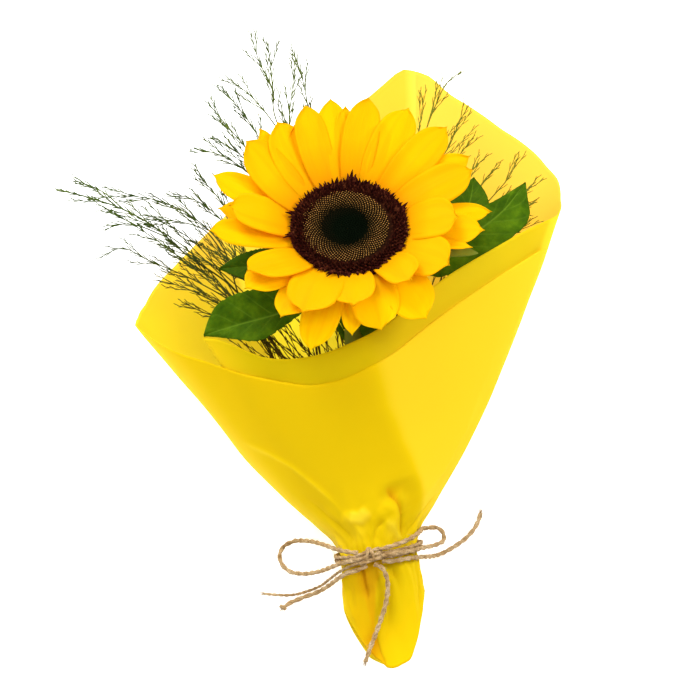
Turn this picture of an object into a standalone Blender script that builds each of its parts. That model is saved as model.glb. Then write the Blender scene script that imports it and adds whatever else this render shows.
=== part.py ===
"""One cut sunflower with leaves and fine green sprays, rolled in a paper cone and tied with twine.

The bunch lies on its back. +Y runs from the tied end to the flower, +X is to the right as the
flower is looked at, and +Z is up. The origin is on the surface it lies on, under the flat strip
of paper that carries it. Numbers below are millimetres and degrees; meshes are in metres.
"""
import random
from math import cos, exp, hypot, pi, radians, sin

import bmesh
import bpy
import numpy as np
from mathutils import Matrix, Vector

MM = 0.001
SEAT_GAP = 0.3

# The paper: one sheet, rolled about one turn and a third round the stems
PAPER_THICK = 0.7
LAYER_GAP = 1.8
LAYER_STEP = 48.0
TIE_Y = -104.0
ARCH_Y = -95.0
ARCH_HEIGHT = 3.7
ARCH_REACH = 20.0
FLAT_FROM = 0.93
SIDE_CURL = 1.2
ROOF_CURL = 1.1
PLEATS = 10
PLEAT_DEPTH = 0.13
PLEAT_REACH = 26.0

# Sections of the rolled cone: y, reach to the left, reach to the right, height of the sides,
# height of the top
CONE = (
    (-166, 17.0, 15.0, 7.0, 11.0),
    (-145, 19.5, 17.5, 9.0, 17.0),
    (-124, 21.5, 20.0, 13.0, 25.5),
    (-112, 20.5, 20.5, 15.5, 29.5),
    (-104, 19.5, 20.0, 16.5, 30.5),
    (-95, 20.5, 22.5, 16.5, 33.0),
    (-82, 29.0, 33.0, 16.5, 38.0),
    (-69, 38.0, 44.0, 17.5, 43.0),
    (-40, 57.5, 66.5, 20.0, 55.0),
    (-8, 76.0, 87.0, 25.0, 68.0),
    (20, 93.0, 104.5, 30.0, 77.0),
    (50, 110.0, 121.5, 37.0, 84.0),
    (100, 137.0, 149.0, 42.0, 90.0),
    (166, 168.0, 180.0, 46.0, 95.0),
)
# Where the sheet is cut off, by the angle round the cone: 90 is the front, 0 the right side,
# -90 the back, which lies on the surface, -180 the left side and -270 the front again
RIM = (
    (132, 34), (124, 0), (118, -8), (104, -14.5), (91, -12), (80, -6), (58, 19), (31, 44),
    (17, 51), (0, 56), (-12, 60), (-22, 76), (-30, 86), (-48, 116), (-61, 143), (-65, 155),
    (-70, 160), (-76, 149), (-80, 143), (-111, 92), (-120, 79), (-130, 66), (-140, 56),
    (-160, 42), (-180, 33), (-200, 12), (-215, -3), (-223, -11), (-240, -20), (-253, -27.5),
    (-268, -28.5), (-283, -21), (-316, 8.5), (-343, 47), (-348, 49),
)
TAIL = (
    (132, -130), (90, -137), (50, -132), (0, -122), (-40, -140), (-70, -152), (-100, -156),
    (-130, -150), (-160, -132), (-180, -122), (-200, -131), (-225, -149), (-250, -159),
    (-264, -160), (-295, -157), (-312, -147), (-335, -130), (-348, -124),
)
FRONT_ANGLES = (132, 120, 108, 96, 84, 72, 60, 48, 36, 24, 12, 0)
BACK_ANGLES = (-12, -24, -36, -48, -58, -70, -110, -122, -134, -146, -158, -169)
OUTER_ANGLES = tuple(range(-180, -349, -12))
ROWS_BELOW_TIE = (0.0, 0.3, 0.6, 0.82)
ROWS_ABOVE_TIE = (0.0, 0.05, 0.12, 0.21, 0.32, 0.45, 0.59, 0.73, 0.87, 1.0)

# The twine: two turns round the neck, a knot, a bow of two loops and four loose ends
TWINE = 2.8
THIN_TWINE = 1.8
TURN_SPACING = 2.6
TURN_SLOPE = 6.5
TURN_Y = -101.5
TURN_GAP = 0.7
TURN_POINTS = 20
KNOT_AT = (-5.5, -107.6, 34.9)
KNOT_SIZE = (4.6, 3.9, 3.5)
CORDS = {
    "twine_loop_left": (TWINE, (
        (-10.9, -105.7, 35.3), (-14.5, -104.4, 34.3), (-19.3, -101.5, 31.0), (-26.4, -94.6, 22.0),
        (-34.4, -88.2, 11.0), (-40.2, -85.8, 4.5), (-44.9, -86.8, 2.0), (-47.5, -90.5, 1.6),
        (-47.2, -95.6, 1.6), (-44.1, -99.9, 2.4), (-38.6, -103.2, 6.0), (-32.0, -105.6, 13.0),
        (-25.0, -107.6, 24.0), (-18.4, -108.6, 33.0), (-14.0, -109.1, 35.8), (-10.9, -109.3, 36.3))),
    "twine_loop_right": (TWINE, (
        (0.0, -106.0, 35.4), (7.1, -105.0, 35.2), (14.5, -103.0, 33.5), (20.0, -99.6, 29.5),
        (26.1, -93.6, 15.5), (31.7, -94.3, 14.1), (33.4, -96.4, 14.1), (33.5, -100.0, 14.7),
        (28.3, -104.2, 20.3), (22.5, -105.8, 25.0), (15.1, -108.4, 33.0), (7.7, -109.2, 36.0),
        (0.2, -109.4, 36.3))),
    "twine_end_left": (TWINE, (
        (-7.6, -112.3, 33.7), (-11.6, -113.5, 33.4), (-16.5, -113.3, 30.8), (-21.6, -113.6, 24.5),
        (-27.0, -113.6, 13.0), (-33.0, -113.6, 4.5), (-40.6, -114.4, 1.9), (-46.7, -115.8, 1.6),
        (-50.4, -117.6, 1.6))),
    "twine_end_left_thin": (THIN_TWINE, (
        (-10.9, -110.4, 33.0), (-14.4, -110.6, 32.0), (-19.4, -110.8, 27.6), (-25.6, -110.8, 15.5),
        (-31.6, -110.8, 4.0), (-38.0, -111.4, 1.2), (-44.5, -111.8, 1.1), (-51.5, -110.6, 1.1),
        (-58.4, -108.7, 1.1))),
    "twine_end_right": (TWINE, (
        (0.3, -111.6, 33.9), (4.8, -112.2, 33.7), (12.1, -111.6, 31.4), (19.0, -110.4, 25.6),
        (25.0, -108.2, 15.5), (31.2, -105.2, 6.0), (38.3, -101.8, 2.0), (44.8, -98.5, 1.6),
        (50.2, -94.3, 1.6), (53.2, -90.5, 1.6), (55.0, -86.8, 1.6))),
    "twine_end_down": (TWINE, (
        (-3.9, -112.5, 34.4), (-0.8, -114.4, 33.9), (0.9, -118.5, 32.3), (0.7, -124.2, 29.3),
        (-1.6, -131.0, 26.0), (-5.2, -137.6, 22.6), (-9.8, -145.0, 18.6), (-13.6, -151.0, 16.0),
        (-15.6, -154.4, 13.6))),
}
POINTS_APART = 2.0

# The flower: the middle of its head, the way it faces, and its parts
HEAD_AT = Vector((11, 46, 78))
HEAD_FACING = Vector((0.042, 0.238, 0.970)).normalized()
HEAD_RIGHT = Vector((0.985, -0.174, 0.0))
RING_OUTER = 32.0
RING_INNER = 24.5
RING_THICK = 4.0
RING_STEPS = 30
PETAL_THICK = 0.8
PETAL_ROOT = 28.8
# petals in a row, height of their roots, tilt towards the viewer, length past the root, width
PETAL_ROWS = (
    (11, -0.9, 30, 38, 19),
    (11, -2.0, 14, 43, 20),
    (11, -3.1, -3, 45, 20),
)
PETAL_OUTLINE = ((0, 0.4), (0.25, 0.82), (0.5, 1.0), (0.75, 0.86), (1, 0.1))
PETAL_TROUGH = 0.9
PETAL_TURN = 3.0
PETAL_SWAY = 4.0
PETAL_TWIST = 9.0
PETAL_CURL = (-22.0, -4.0)
LOW_SIDE_DROP = 5.0
DISC_STEPS = 36
DISC_PROFILE = (
    (0, 4.4), (7, 4.9), (13, 5.5), (18.5, 5.2), (22.5, 4.6), (25, 6.2), (27.6, 6.4),
    (29.4, 5.0), (27.8, 2.4), (27.6, SEAT_GAP), (0, SEAT_GAP),
)
SPIKY_FROM = 23.5
SPIKE_HEIGHT = 0.8
FLORET_HEIGHT = 0.25
FRINGE_FROM = 29.0
FRINGE_DEPTH = 0.025
CUP_TOP = -RING_THICK - SEAT_GAP
CUP_PROFILE = (
    (0, 0.0), (RING_INNER - 0.6, 0.0), (RING_INNER - 0.6, CUP_TOP), (27.5, CUP_TOP),
    (27.0, CUP_TOP - 2.5), (20.0, CUP_TOP - 7.0), (11.0, CUP_TOP - 11.0), (6.5, CUP_TOP - 16.0),
    (0, CUP_TOP - 17.0),
)
CUP_STEPS = 22
STEM_RADIUS = 5.5
STEM_POINTS = 17
STEM = (
    (0, -138, 11.5), (0, -120, 14.5), (0, -104, 17), (0, -85, 19), (1, -60, 24), (3, -35, 32),
    (5, -12, 40), (8, 8, 46), (10, 25, 52), (10.5, 37, 59), (10.7, 42, 66),
)
BRACTS = 12
BRACT_ROOT = (21.0, -3.4)
BRACT_LENGTH = (21.0, 26.0)
BRACT_WIDTH = 5.2
BRACT_TIP = 0.25
BRACT_TURN = 5.0
BRACT_DROOP = 0.2

# Leaves: midrib from base to tip, widest half-width, stalk from the stem to the base
LEAVES = {
    "leaf_left": (((-3, 19, 54), (-18, 17, 57), (-30, 15, 57), (-49, 14, 54), (-67, 13, 50)), 13.5,
                  ((3.0, 6, 46), (0, 13, 50), (-4, 18.6, 54))),
    "leaf_left_back": (((-19, 43, 49), (-31, 44, 50), (-43, 46, 49), (-54, 48, 47)), 9.5,
                       ((2.4, 2, 41), (-5, 20, 45), (-13, 35, 47), (-20, 43.4, 49))),
    "leaf_right": (((44, 28, 49), (61, 36, 51), (75, 43, 51), (91, 53, 49), (106, 68, 45)), 14.5,
                   ((10.9, -7, 41), (20, 6, 45), (33, 19, 47.5), (45, 28.6, 49))),
    "leaf_right_back": (((56, 46, 38), (67, 55, 39), (75, 66, 39), (81, 79, 36)), 11.0,
                        ((13.9, 6, 43.5), (28, 20, 41), (42, 33, 38.5), (57, 46.8, 38))),
    "leaf_front": (((16, 8, 53), (16, 1, 56), (17, -7, 58), (19, -16, 58)), 7.5,
                   ((10.2, -14, 41.5), (15, -9, 45), (17.4, 0, 50), (16, 8, 53))),
}
LEAF_THICK = 0.7
STALK_RADIUS = 1.4
STALK_GAP = 0.75
STALK_POINTS = 8
LEAF_OUTLINE = (
    (0, 0.16), (0.08, 0.62), (0.22, 0.95), (0.36, 1.0), (0.55, 0.86), (0.75, 0.56), (0.9, 0.26),
    (1, 0.04),
)
LEAF_ROWS = 9
LEAF_FOLD = 0.16
LEAF_WAVE = 0.5
TOOTH_WIDTH = 0.07
TOOTH_LENGTH = 0.8

# Fine sprays: the way of each main stem, and its twigs, from where they leave it to their tips
STEM_START_Y = -113
SPRAY_STEM_RADIUS = 1.1
SPRAYS = {
    "spray_left_low": ((
        (-6.95, STEM_START_Y, 15.6), (-12, -80, 18), (-20, -45, 23), (-30, -10, 28), (-41, 21, 32)), (
        ((-38, 12, 31), (-51, 24, 34), (-63, 29, 36), (-75, 37, 38)),
        ((-41, 21, 32), (-60, 37, 33), (-75, 47, 35), (-86, 52, 35)),
        ((-41, 21, 32), (-47, 31, 32), (-64, 47, 33), (-89, 64, 35), (-100, 72, 35), (-113, 69, 34)),
        ((-41, 21, 32), (-53, 43, 31), (-69, 62, 29), (-83, 74, 29)),
        ((-47, 31, 32), (-57, 47, 34), (-68, 57, 35), (-78, 66, 34)))),
    "spray_left_long": ((
        (-5.7, STEM_START_Y, 11.6), (-10, -80, 12), (-17, -45, 13), (-26, -8, 16), (-39, 30, 21),
        (-50, 46, 28), (-69, 62, 38), (-82, 77, 43), (-96, 88, 46), (-112, 97, 47),
        (-128, 105, 46)), (
        ((-46, 41, 25), (-51, 70, 27), (-73, 92, 34), (-95, 99, 38), (-108, 100, 38)),
        ((-50, 64, 26), (-58, 77, 30), (-72, 83, 33), (-86, 85, 36)),
        ((-76, 71, 41), (-94, 80, 45), (-106, 81, 46)),
        ((-44, 50, 24), (-46, 78, 26), (-58, 93, 29), (-71, 99, 32)),
        ((-42, 70, 23), (-44, 86, 26), (-52, 101, 29), (-58, 110, 32)),
        ((-96, 88, 46), (-106, 100, 47), (-118, 107, 49)))),
    "spray_upper_left": ((
        (-2.4, STEM_START_Y, 9.1), (-4, -80, 8), (-7, -30, 8), (-12, 30, 12), (-16, 75, 17),
        (-22, 100, 22)), (
        ((-20, 90, 20), (-32, 108, 26), (-44, 117, 30), (-56, 121, 33)),
        ((-22, 100, 22), (-34, 117, 28), (-45, 126, 32)),
        ((-22, 100, 22), (-30, 120, 28), (-39, 134, 33), (-45, 144, 36)),
        ((-22, 100, 22), (-22, 122, 30), (-30, 139, 35), (-37, 151, 38)))),
    "spray_top": ((
        (2.4, STEM_START_Y, 9.1), (3, -80, 8), (3, -20, 8), (0, 50, 14), (-4, 95, 20),
        (-8, 118, 24)), (
        ((-8, 118, 24), (-13, 130, 28), (-22, 145, 32), (-33, 158, 33)),
        ((-8, 118, 24), (-12, 136, 30), (-11, 148, 33), (-15, 162, 36), (-17, 178, 38)),
        ((-11, 140, 31), (-10, 154, 30), (-9, 166, 30), (-9, 176, 31)),
        ((-4, 100, 21), (-5, 130, 28), (1, 150, 32), (4, 163, 33)),
        ((-2, 90, 19), (5, 119, 24), (6, 139, 28), (5, 159, 30), (3, 170, 31)))),
    "spray_upper_right": ((
        (5.7, STEM_START_Y, 11.6), (12, -70, 11), (22, -15, 12), (38, 40, 15), (52, 82, 19),
        (59, 104, 22)), (
        ((59, 104, 22), (65, 116, 25), (72, 127, 28), (79, 136, 31), (87, 140, 33)),
        ((65, 116, 25), (70, 126, 29), (74, 136, 31)),
        ((56, 96, 21), (61, 117, 23), (65, 128, 25), (65, 136, 27)),
        ((54, 88, 20), (73, 102, 24), (82, 115, 28), (88, 122, 30)),
        ((50, 78, 19), (72, 92, 23), (88, 106, 27)))),
    "spray_right": ((
        (6.95, STEM_START_Y, 15.6), (16, -75, 16), (30, -30, 17), (48, 15, 19), (62, 42, 22),
        (77, 61, 26)), (
        ((60, 38, 22), (74, 73, 23), (84, 88, 26), (93, 94, 27)),
        ((77, 61, 26), (88, 80, 28), (97, 86, 30)),
        ((77, 61, 26), (90, 69, 31), (101, 78, 35), (107, 87, 37)),
        ((77, 61, 26), (93, 64, 31), (106, 66, 36), (114, 73, 38)),
        ((70, 52, 24), (89, 57, 30), (104, 58, 35), (110, 60, 36)),
        ((62, 42, 22), (84, 46, 30), (98, 46, 36), (107, 51, 38)))),
}
TWIG_RADIUS = 0.65
TWIG_TIP = 0.8
NEEDLE_LENGTH = 7.5
NEEDLE_RADIUS = 0.38
NEEDLE_TIP = 0.28
NEEDLE_SPACING = 7.5
NEEDLE_LEAN = 25.0
NEEDLED_SHARE = 0.66
GOLDEN_ANGLE = 137.5
STEMS_WITH_NEEDLES = ("spray_left_long",)

COLOURS = {
    "paper": ((0.98, 0.76, 0.03), 0.6),
    "twine": ((0.50, 0.33, 0.16), 0.9),
    "petal": ((1.0, 0.70, 0.0), 0.55),
    "disc": ((0.045, 0.012, 0.008), 0.8),
    "stem": ((0.16, 0.30, 0.06), 0.6),
    "leaf": ((0.04, 0.14, 0.02), 0.5),
    "spray": ((0.13, 0.20, 0.08), 0.6),
}


# Helpers for smooth ways, profiles and objects
def value_at(x, table, column):
    """Reads a column of a table at x along a smooth curve through its rows."""
    xs = np.array([row[0] for row in table], float)
    ys = np.array([row[column] for row in table], float)
    slopes = np.gradient(ys, xs)
    k = int(np.clip(np.searchsorted(xs, x) - 1, 0, len(xs) - 2))
    span = xs[k + 1] - xs[k]
    t = (x - xs[k]) / span
    return float((2 * t**3 - 3 * t**2 + 1) * ys[k] + (t**3 - 2 * t**2 + t) * span * slopes[k]
                 + (3 * t**2 - 2 * t**3) * ys[k + 1] + (t**3 - t**2) * span * slopes[k + 1])


def line_at(x, table):
    """Reads a two-column table at x, with straight runs between its rows."""
    rows = sorted(table)
    return float(np.interp(x, [row[0] for row in rows], [row[1] for row in rows]))


def smooth_way(points, count):
    """Reads count points, evenly spread, from a smooth curve through a few given points."""
    knots = np.array(points, float)
    steps = np.linalg.norm(np.diff(knots, axis=0), axis=1)
    along = np.concatenate([[0.0], np.cumsum(steps)])
    slopes = np.gradient(knots, along, axis=0)
    way = []
    for s in np.linspace(0.0, along[-1], count):
        k = int(np.clip(np.searchsorted(along, s) - 1, 0, len(along) - 2))
        span = along[k + 1] - along[k]
        t = (s - along[k]) / span
        way.append(Vector((2 * t**3 - 3 * t**2 + 1) * knots[k]
                          + (t**3 - 2 * t**2 + t) * span * slopes[k]
                          + (3 * t**2 - 2 * t**3) * knots[k + 1]
                          + (t**3 - t**2) * span * slopes[k + 1]))
    return way


def way_length(points):
    return sum((b - a).length for a, b in zip(points, points[1:]))


def make_material(name):
    colour, roughness = COLOURS[name]
    material = bpy.data.materials.new(name)
    material.use_nodes = True
    shader = material.node_tree.nodes["Principled BSDF"]
    shader.inputs["Base Color"].default_value = (*colour, 1.0)
    shader.inputs["Roughness"].default_value = roughness
    return material


def add_mesh(name, shape, collection, material, smooth=True):
    """Turns a bmesh in millimetres into an object in metres."""
    bmesh.ops.scale(shape, vec=(MM, MM, MM), verts=shape.verts)
    bmesh.ops.recalc_face_normals(shape, faces=shape.faces)
    mesh = bpy.data.meshes.new(name)
    shape.to_mesh(mesh)
    shape.free()
    mesh.materials.append(material)
    if smooth:
        mesh.shade_smooth()
    piece = bpy.data.objects.new(name, mesh)
    collection.objects.link(piece)
    return piece


def add_tube(name, way, radius, collection, material, sides=2, tip=1.0, ring=False):
    """A capped tube along a way; its radius falls to tip times its first value."""
    curve = bpy.data.curves.new(name, "CURVE")
    curve.dimensions = "3D"
    curve.bevel_depth = radius * MM
    curve.bevel_resolution = sides
    curve.use_fill_caps = not ring
    spline = curve.splines.new("POLY")
    spline.points.add(len(way) - 1)
    spline.use_cyclic_u = ring
    for k, (point, place) in enumerate(zip(spline.points, way)):
        point.co = (place.x * MM, place.y * MM, place.z * MM, 1.0)
        point.radius = 1.0 + (tip - 1.0) * k / (len(way) - 1)
    curve.materials.append(material)
    tube = bpy.data.objects.new(name, curve)
    collection.objects.link(tube)
    return tube


def as_mesh(tube, collection, material):
    """Replaces a tube by its mesh, with its caps welded on."""
    bpy.context.view_layer.update()
    evaluated = tube.evaluated_get(bpy.context.evaluated_depsgraph_get())
    mesh = bpy.data.meshes.new_from_object(evaluated)
    shape = bmesh.new()
    shape.from_mesh(mesh)
    bmesh.ops.remove_doubles(shape, verts=shape.verts, dist=0.00001)
    bmesh.ops.recalc_face_normals(shape, faces=shape.faces)
    shape.to_mesh(mesh)
    shape.free()
    mesh.materials.clear()
    mesh.materials.append(material)
    piece = bpy.data.objects.new(tube.name, mesh)
    piece.matrix_world = tube.matrix_world
    bpy.data.objects.remove(tube)
    collection.objects.link(piece)
    return piece


def fuse(name, body, repeats, collection, material):
    """Joins the repeats to the body in one Boolean union, and removes them."""
    group = bpy.data.collections.new(name + "_repeats")
    for piece in repeats:
        for home in piece.users_collection:
            home.objects.unlink(piece)
        group.objects.link(piece)
    bpy.context.scene.collection.children.link(group)
    union = body.modifiers.new("union", "BOOLEAN")
    union.operation = "UNION"
    union.operand_type = "COLLECTION"
    union.collection = group
    union.solver = "MANIFOLD"
    bpy.context.view_layer.update()
    evaluated = body.evaluated_get(bpy.context.evaluated_depsgraph_get())
    mesh = bpy.data.meshes.new_from_object(evaluated)
    mesh.materials.clear()
    mesh.materials.append(material)
    mesh.shade_smooth()
    for piece in [body, *repeats]:
        bpy.data.objects.remove(piece)
    bpy.data.collections.remove(group)
    fused = bpy.data.objects.new(name, mesh)
    collection.objects.link(fused)
    return fused


# The paper cone
def underside(y):
    """Height of the paper's back: on the surface, but for an arch over the twine."""
    return ARCH_HEIGHT * max(0.0, 1.0 - ((y - ARCH_Y) / ARCH_REACH) ** 2)


def outline_point(angle, y, inset=0.0):
    """A point of the cone's smooth outline, or inset millimetres inside it."""
    c = cos(radians(angle))
    s = sin(radians(angle))
    reach = value_at(y, CONE, 2 if c > 0 else 1) - inset
    side = value_at(y, CONE, 3)
    top = value_at(y, CONE, 4) - inset
    low = underside(y)
    if s >= 0.0:
        return Vector((reach * c, y, side + (top - side) * s ** ROOF_CURL))
    return Vector((reach * c, y, low + (side - low) * max(0.0, 1.0 + s / FLAT_FROM) ** SIDE_CURL))


def paper_point(angle, y, inset):
    """A point of the sheet's outer face: the outline, drawn into pleats near the twine."""
    point = outline_point(angle, y, inset)
    if sin(radians(angle)) < -0.5:
        return point
    gather = PLEAT_DEPTH * exp(-(((y - TIE_Y) / PLEAT_REACH) ** 2))
    pleat = 1.0 - gather * (0.5 - 0.5 * cos(radians(angle * PLEATS)))
    middle = Vector((0.0, y, 0.5 * (underside(y) + value_at(y, CONE, 4) - inset)))
    return middle + (point - middle) * pleat


def paper_inset(angle):
    """The layer inside the overlap lies one gap within the layer outside it."""
    return LAYER_GAP * min(1.0, max(0.0, 1.0 + angle / LAYER_STEP))


def make_paper(collection, material):
    angles = [*FRONT_ANGLES, *BACK_ANGLES, *OUTER_ANGLES]
    rows = [(0, t) for t in ROWS_BELOW_TIE] + [(1, t) for t in ROWS_ABOVE_TIE]
    sheet = bmesh.new()
    bmesh.ops.create_grid(sheet, x_segments=len(angles) - 1, y_segments=len(rows) - 1, size=0.5)
    for corner in sheet.verts:
        angle = angles[round((corner.co.x + 0.5) * (len(angles) - 1))]
        above, t = rows[round((corner.co.y + 0.5) * (len(rows) - 1))]
        tail = line_at(angle, TAIL)
        rim = line_at(angle, RIM)
        y = TIE_Y + t * (rim - TIE_Y) if above else tail + t * (TIE_Y - tail)
        corner.co = paper_point(angle, y, paper_inset(angle))
    bmesh.ops.triangulate(sheet, faces=sheet.faces)
    paper = add_mesh("paper_wrap", sheet, collection, material)
    wall = paper.modifiers.new("wall", "SOLIDIFY")
    wall.thickness = PAPER_THICK * MM
    wall.offset = -1.0
    return paper


# The twine
def turn_way(shift):
    """One turn of twine round the neck, leaning towards the stem's end in front."""
    way = []
    for k in range(TURN_POINTS):
        angle = 360.0 * k / TURN_POINTS
        y = TURN_Y - TURN_SLOPE * sin(radians(angle)) + shift
        along = outline_point(angle + 4.0, y) - outline_point(angle - 4.0, y)
        out = Vector((along.z, 0.0, -along.x)).normalized()
        way.append(outline_point(angle, y) + out * (TWINE / 2 + TURN_GAP))
    return way


def make_twine(collection, material):
    turns = []
    for k, shift in enumerate((-TURN_SPACING / 2, TURN_SPACING / 2)):
        turn = add_tube(f"turn_{k}", turn_way(shift), TWINE / 2, collection, material, ring=True)
        turns.append(as_mesh(turn, collection, material))
    knot = bmesh.new()
    bmesh.ops.create_uvsphere(knot, u_segments=10, v_segments=6, radius=1.0)
    bmesh.ops.scale(knot, vec=KNOT_SIZE, verts=knot.verts)
    bmesh.ops.translate(knot, vec=KNOT_AT, verts=knot.verts)
    turns.append(add_mesh("knot", knot, collection, material))
    fuse("twine_band", turns[0], turns[1:], collection, material)
    for name, (thick, route) in CORDS.items():
        count = round(way_length([Vector(p) for p in route]) / (POINTS_APART * thick))
        add_tube(name, smooth_way(route, count), thick / 2, collection, material)


# The flower
def head_matrix():
    up = HEAD_FACING.cross(HEAD_RIGHT).normalized()
    right = up.cross(HEAD_FACING).normalized()
    turn = Matrix((right, up, HEAD_FACING)).transposed().to_4x4()
    return Matrix.Translation(HEAD_AT) @ turn


def petal_blade(root, lift, tilt, length, width, twist, curl, azimuth):
    """A petal: a thin pleated blade that starts inside the ring and curls at its tip."""
    blade = bmesh.new()
    bmesh.ops.create_grid(blade, x_segments=3, y_segments=4, size=0.5)
    turn = radians(azimuth)
    out = Vector((cos(turn), sin(turn), 0.0))
    side = Vector((-sin(turn), cos(turn), 0.0))
    up = Vector((0.0, 0.0, 1.0))
    for corner in blade.verts:
        u = corner.co.y + 0.5
        v = corner.co.x * 2.0
        half = 0.5 * width * line_at(u, PETAL_OUTLINE)
        bend = radians(tilt + curl * (u - 0.35))
        rise = u * length * sin(bend)
        reach = u * length * cos(bend)
        trough = PETAL_TROUGH * (abs(v) - 0.5) * min(1.0, 3.0 * u) * (1.0 if u < 0.95 else 0.2)
        lean = sin(radians(twist)) * v * half * u
        corner.co = out * (root + reach) + side * (v * half) + up * (lift + rise + trough + lean)
    bmesh.ops.triangulate(blade, faces=blade.faces)
    bmesh.ops.recalc_face_normals(blade, faces=blade.faces)
    bmesh.ops.solidify(blade, geom=blade.faces[:], thickness=PETAL_THICK)
    return blade


def turned(profile, steps):
    """A solid turned round Z from a profile of (radius, height) that starts and ends on Z."""
    shape = bmesh.new()
    corners = [shape.verts.new((r, 0.0, z)) for r, z in profile]
    edges = [shape.edges.new(pair) for pair in zip(corners, corners[1:])]
    bmesh.ops.spin(shape, geom=corners + edges, axis=(0, 0, 1), cent=(0, 0, 0), angle=2 * pi,
                   steps=steps, use_merge=True, use_duplicate=False)
    bmesh.ops.remove_doubles(shape, verts=shape.verts, dist=0.001)
    return shape


def make_petals(collection, material, rng):
    place = head_matrix()
    ring = bmesh.new()
    section = [(r, z) for r in (RING_INNER, RING_OUTER) for z in (0.0, -RING_THICK)]
    corners = [ring.verts.new((section[k][0], 0.0, section[k][1])) for k in (0, 2, 3, 1)]
    edges = [ring.edges.new((corners[k], corners[(k + 1) % 4])) for k in range(4)]
    bmesh.ops.spin(ring, geom=corners + edges, axis=(0, 0, 1), cent=(0, 0, 0), angle=2 * pi,
                   steps=RING_STEPS, use_merge=True, use_duplicate=False)
    bmesh.ops.transform(ring, matrix=place, verts=ring.verts)
    body = add_mesh("ring", ring, collection, material)
    blades = []
    for row, (count, lift, tilt, length, width) in enumerate(PETAL_ROWS):
        for k in range(count):
            azimuth = 360.0 * (k + row / len(PETAL_ROWS)) / count
            azimuth += rng.uniform(-PETAL_TURN, PETAL_TURN)
            low = 0.5 - 0.5 * sin(radians(azimuth))
            sway = rng.uniform(-PETAL_SWAY, PETAL_SWAY) - LOW_SIDE_DROP * low
            blade = petal_blade(PETAL_ROOT, lift, tilt + sway,
                                length * rng.uniform(0.94, 1.06), width * rng.uniform(0.92, 1.1),
                                rng.uniform(-PETAL_TWIST, PETAL_TWIST), rng.uniform(*PETAL_CURL),
                                azimuth)
            bmesh.ops.transform(blade, matrix=place, verts=blade.verts)
            blades.append(add_mesh(f"petal_{row}_{k}", blade, collection, material))
    return fuse("sunflower_petals", body, blades, collection, material)


def make_disc(collection, material):
    """The dark middle: a low dome of florets inside a ring of taller, spiky ones."""
    shape = turned(DISC_PROFILE, DISC_STEPS)
    for corner in shape.verts:
        r = hypot(corner.co.x, corner.co.y)
        if corner.co.z < 2.5 or r < 1.0:
            continue
        sector = round(DISC_STEPS * np.arctan2(corner.co.y, corner.co.x) / (2 * pi))
        ring = min(range(len(DISC_PROFILE)), key=lambda k: abs(DISC_PROFILE[k][0] - r))
        sign = 1 if (sector + ring) % 2 else -1
        corner.co.z += sign * (SPIKE_HEIGHT if r > SPIKY_FROM else FLORET_HEIGHT)
        if r > FRINGE_FROM:
            corner.co.xy *= 1.0 + FRINGE_DEPTH * sign
    bmesh.ops.transform(shape, matrix=head_matrix(), verts=shape.verts)
    return add_mesh("sunflower_disc", shape, collection, material)


def make_stem(collection, material, rng):
    """The stem, the cup under the flower and its pointed bracts."""
    place = head_matrix()
    cup = turned(CUP_PROFILE, CUP_STEPS)
    bmesh.ops.transform(cup, matrix=place, verts=cup.verts)
    body = add_mesh("cup", cup, collection, material)
    tube = add_tube("stalk", smooth_way(STEM, STEM_POINTS), STEM_RADIUS, collection, material)
    pieces = [as_mesh(tube, collection, material)]
    for k in range(BRACTS):
        blade = bmesh.new()
        bmesh.ops.create_grid(blade, x_segments=2, y_segments=2, size=0.5)
        azimuth = radians(360.0 * k / BRACTS + rng.uniform(-BRACT_TURN, BRACT_TURN))
        length = rng.uniform(*BRACT_LENGTH)
        for corner in blade.verts:
            u = corner.co.y + 0.5
            v = corner.co.x * 2.0
            half = BRACT_WIDTH * (1.0 - u) ** 0.7 + BRACT_TIP
            reach = BRACT_ROOT[0] + u * length
            drop = CUP_TOP + BRACT_ROOT[1] - u * length * BRACT_DROOP + abs(v) * (1.0 - u)
            corner.co = (cos(azimuth) * reach - sin(azimuth) * v * half,
                         sin(azimuth) * reach + cos(azimuth) * v * half, drop)
        bmesh.ops.triangulate(blade, faces=blade.faces)
        bmesh.ops.recalc_face_normals(blade, faces=blade.faces)
        bmesh.ops.solidify(blade, geom=blade.faces[:], thickness=PETAL_THICK)
        bmesh.ops.transform(blade, matrix=place, verts=blade.verts)
        pieces.append(add_mesh(f"bract_{k}", blade, collection, material))
    return fuse("sunflower_stem", body, pieces, collection, material)


# Leaves
def seat_on_stem(toward):
    """The first two places of a stalk that leaves the stem's side squarely, towards a place."""
    way = smooth_way(STEM, 60)
    k = min(range(1, len(way) - 1), key=lambda i: (way[i] - toward).length)
    along = (way[k + 1] - way[k - 1]).normalized()
    aside = toward - way[k]
    aside -= along * aside.dot(along)
    start = way[k] + aside.normalized() * (STEM_RADIUS + STALK_GAP)
    return start, start + aside.normalized() * STALK_RADIUS


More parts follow.
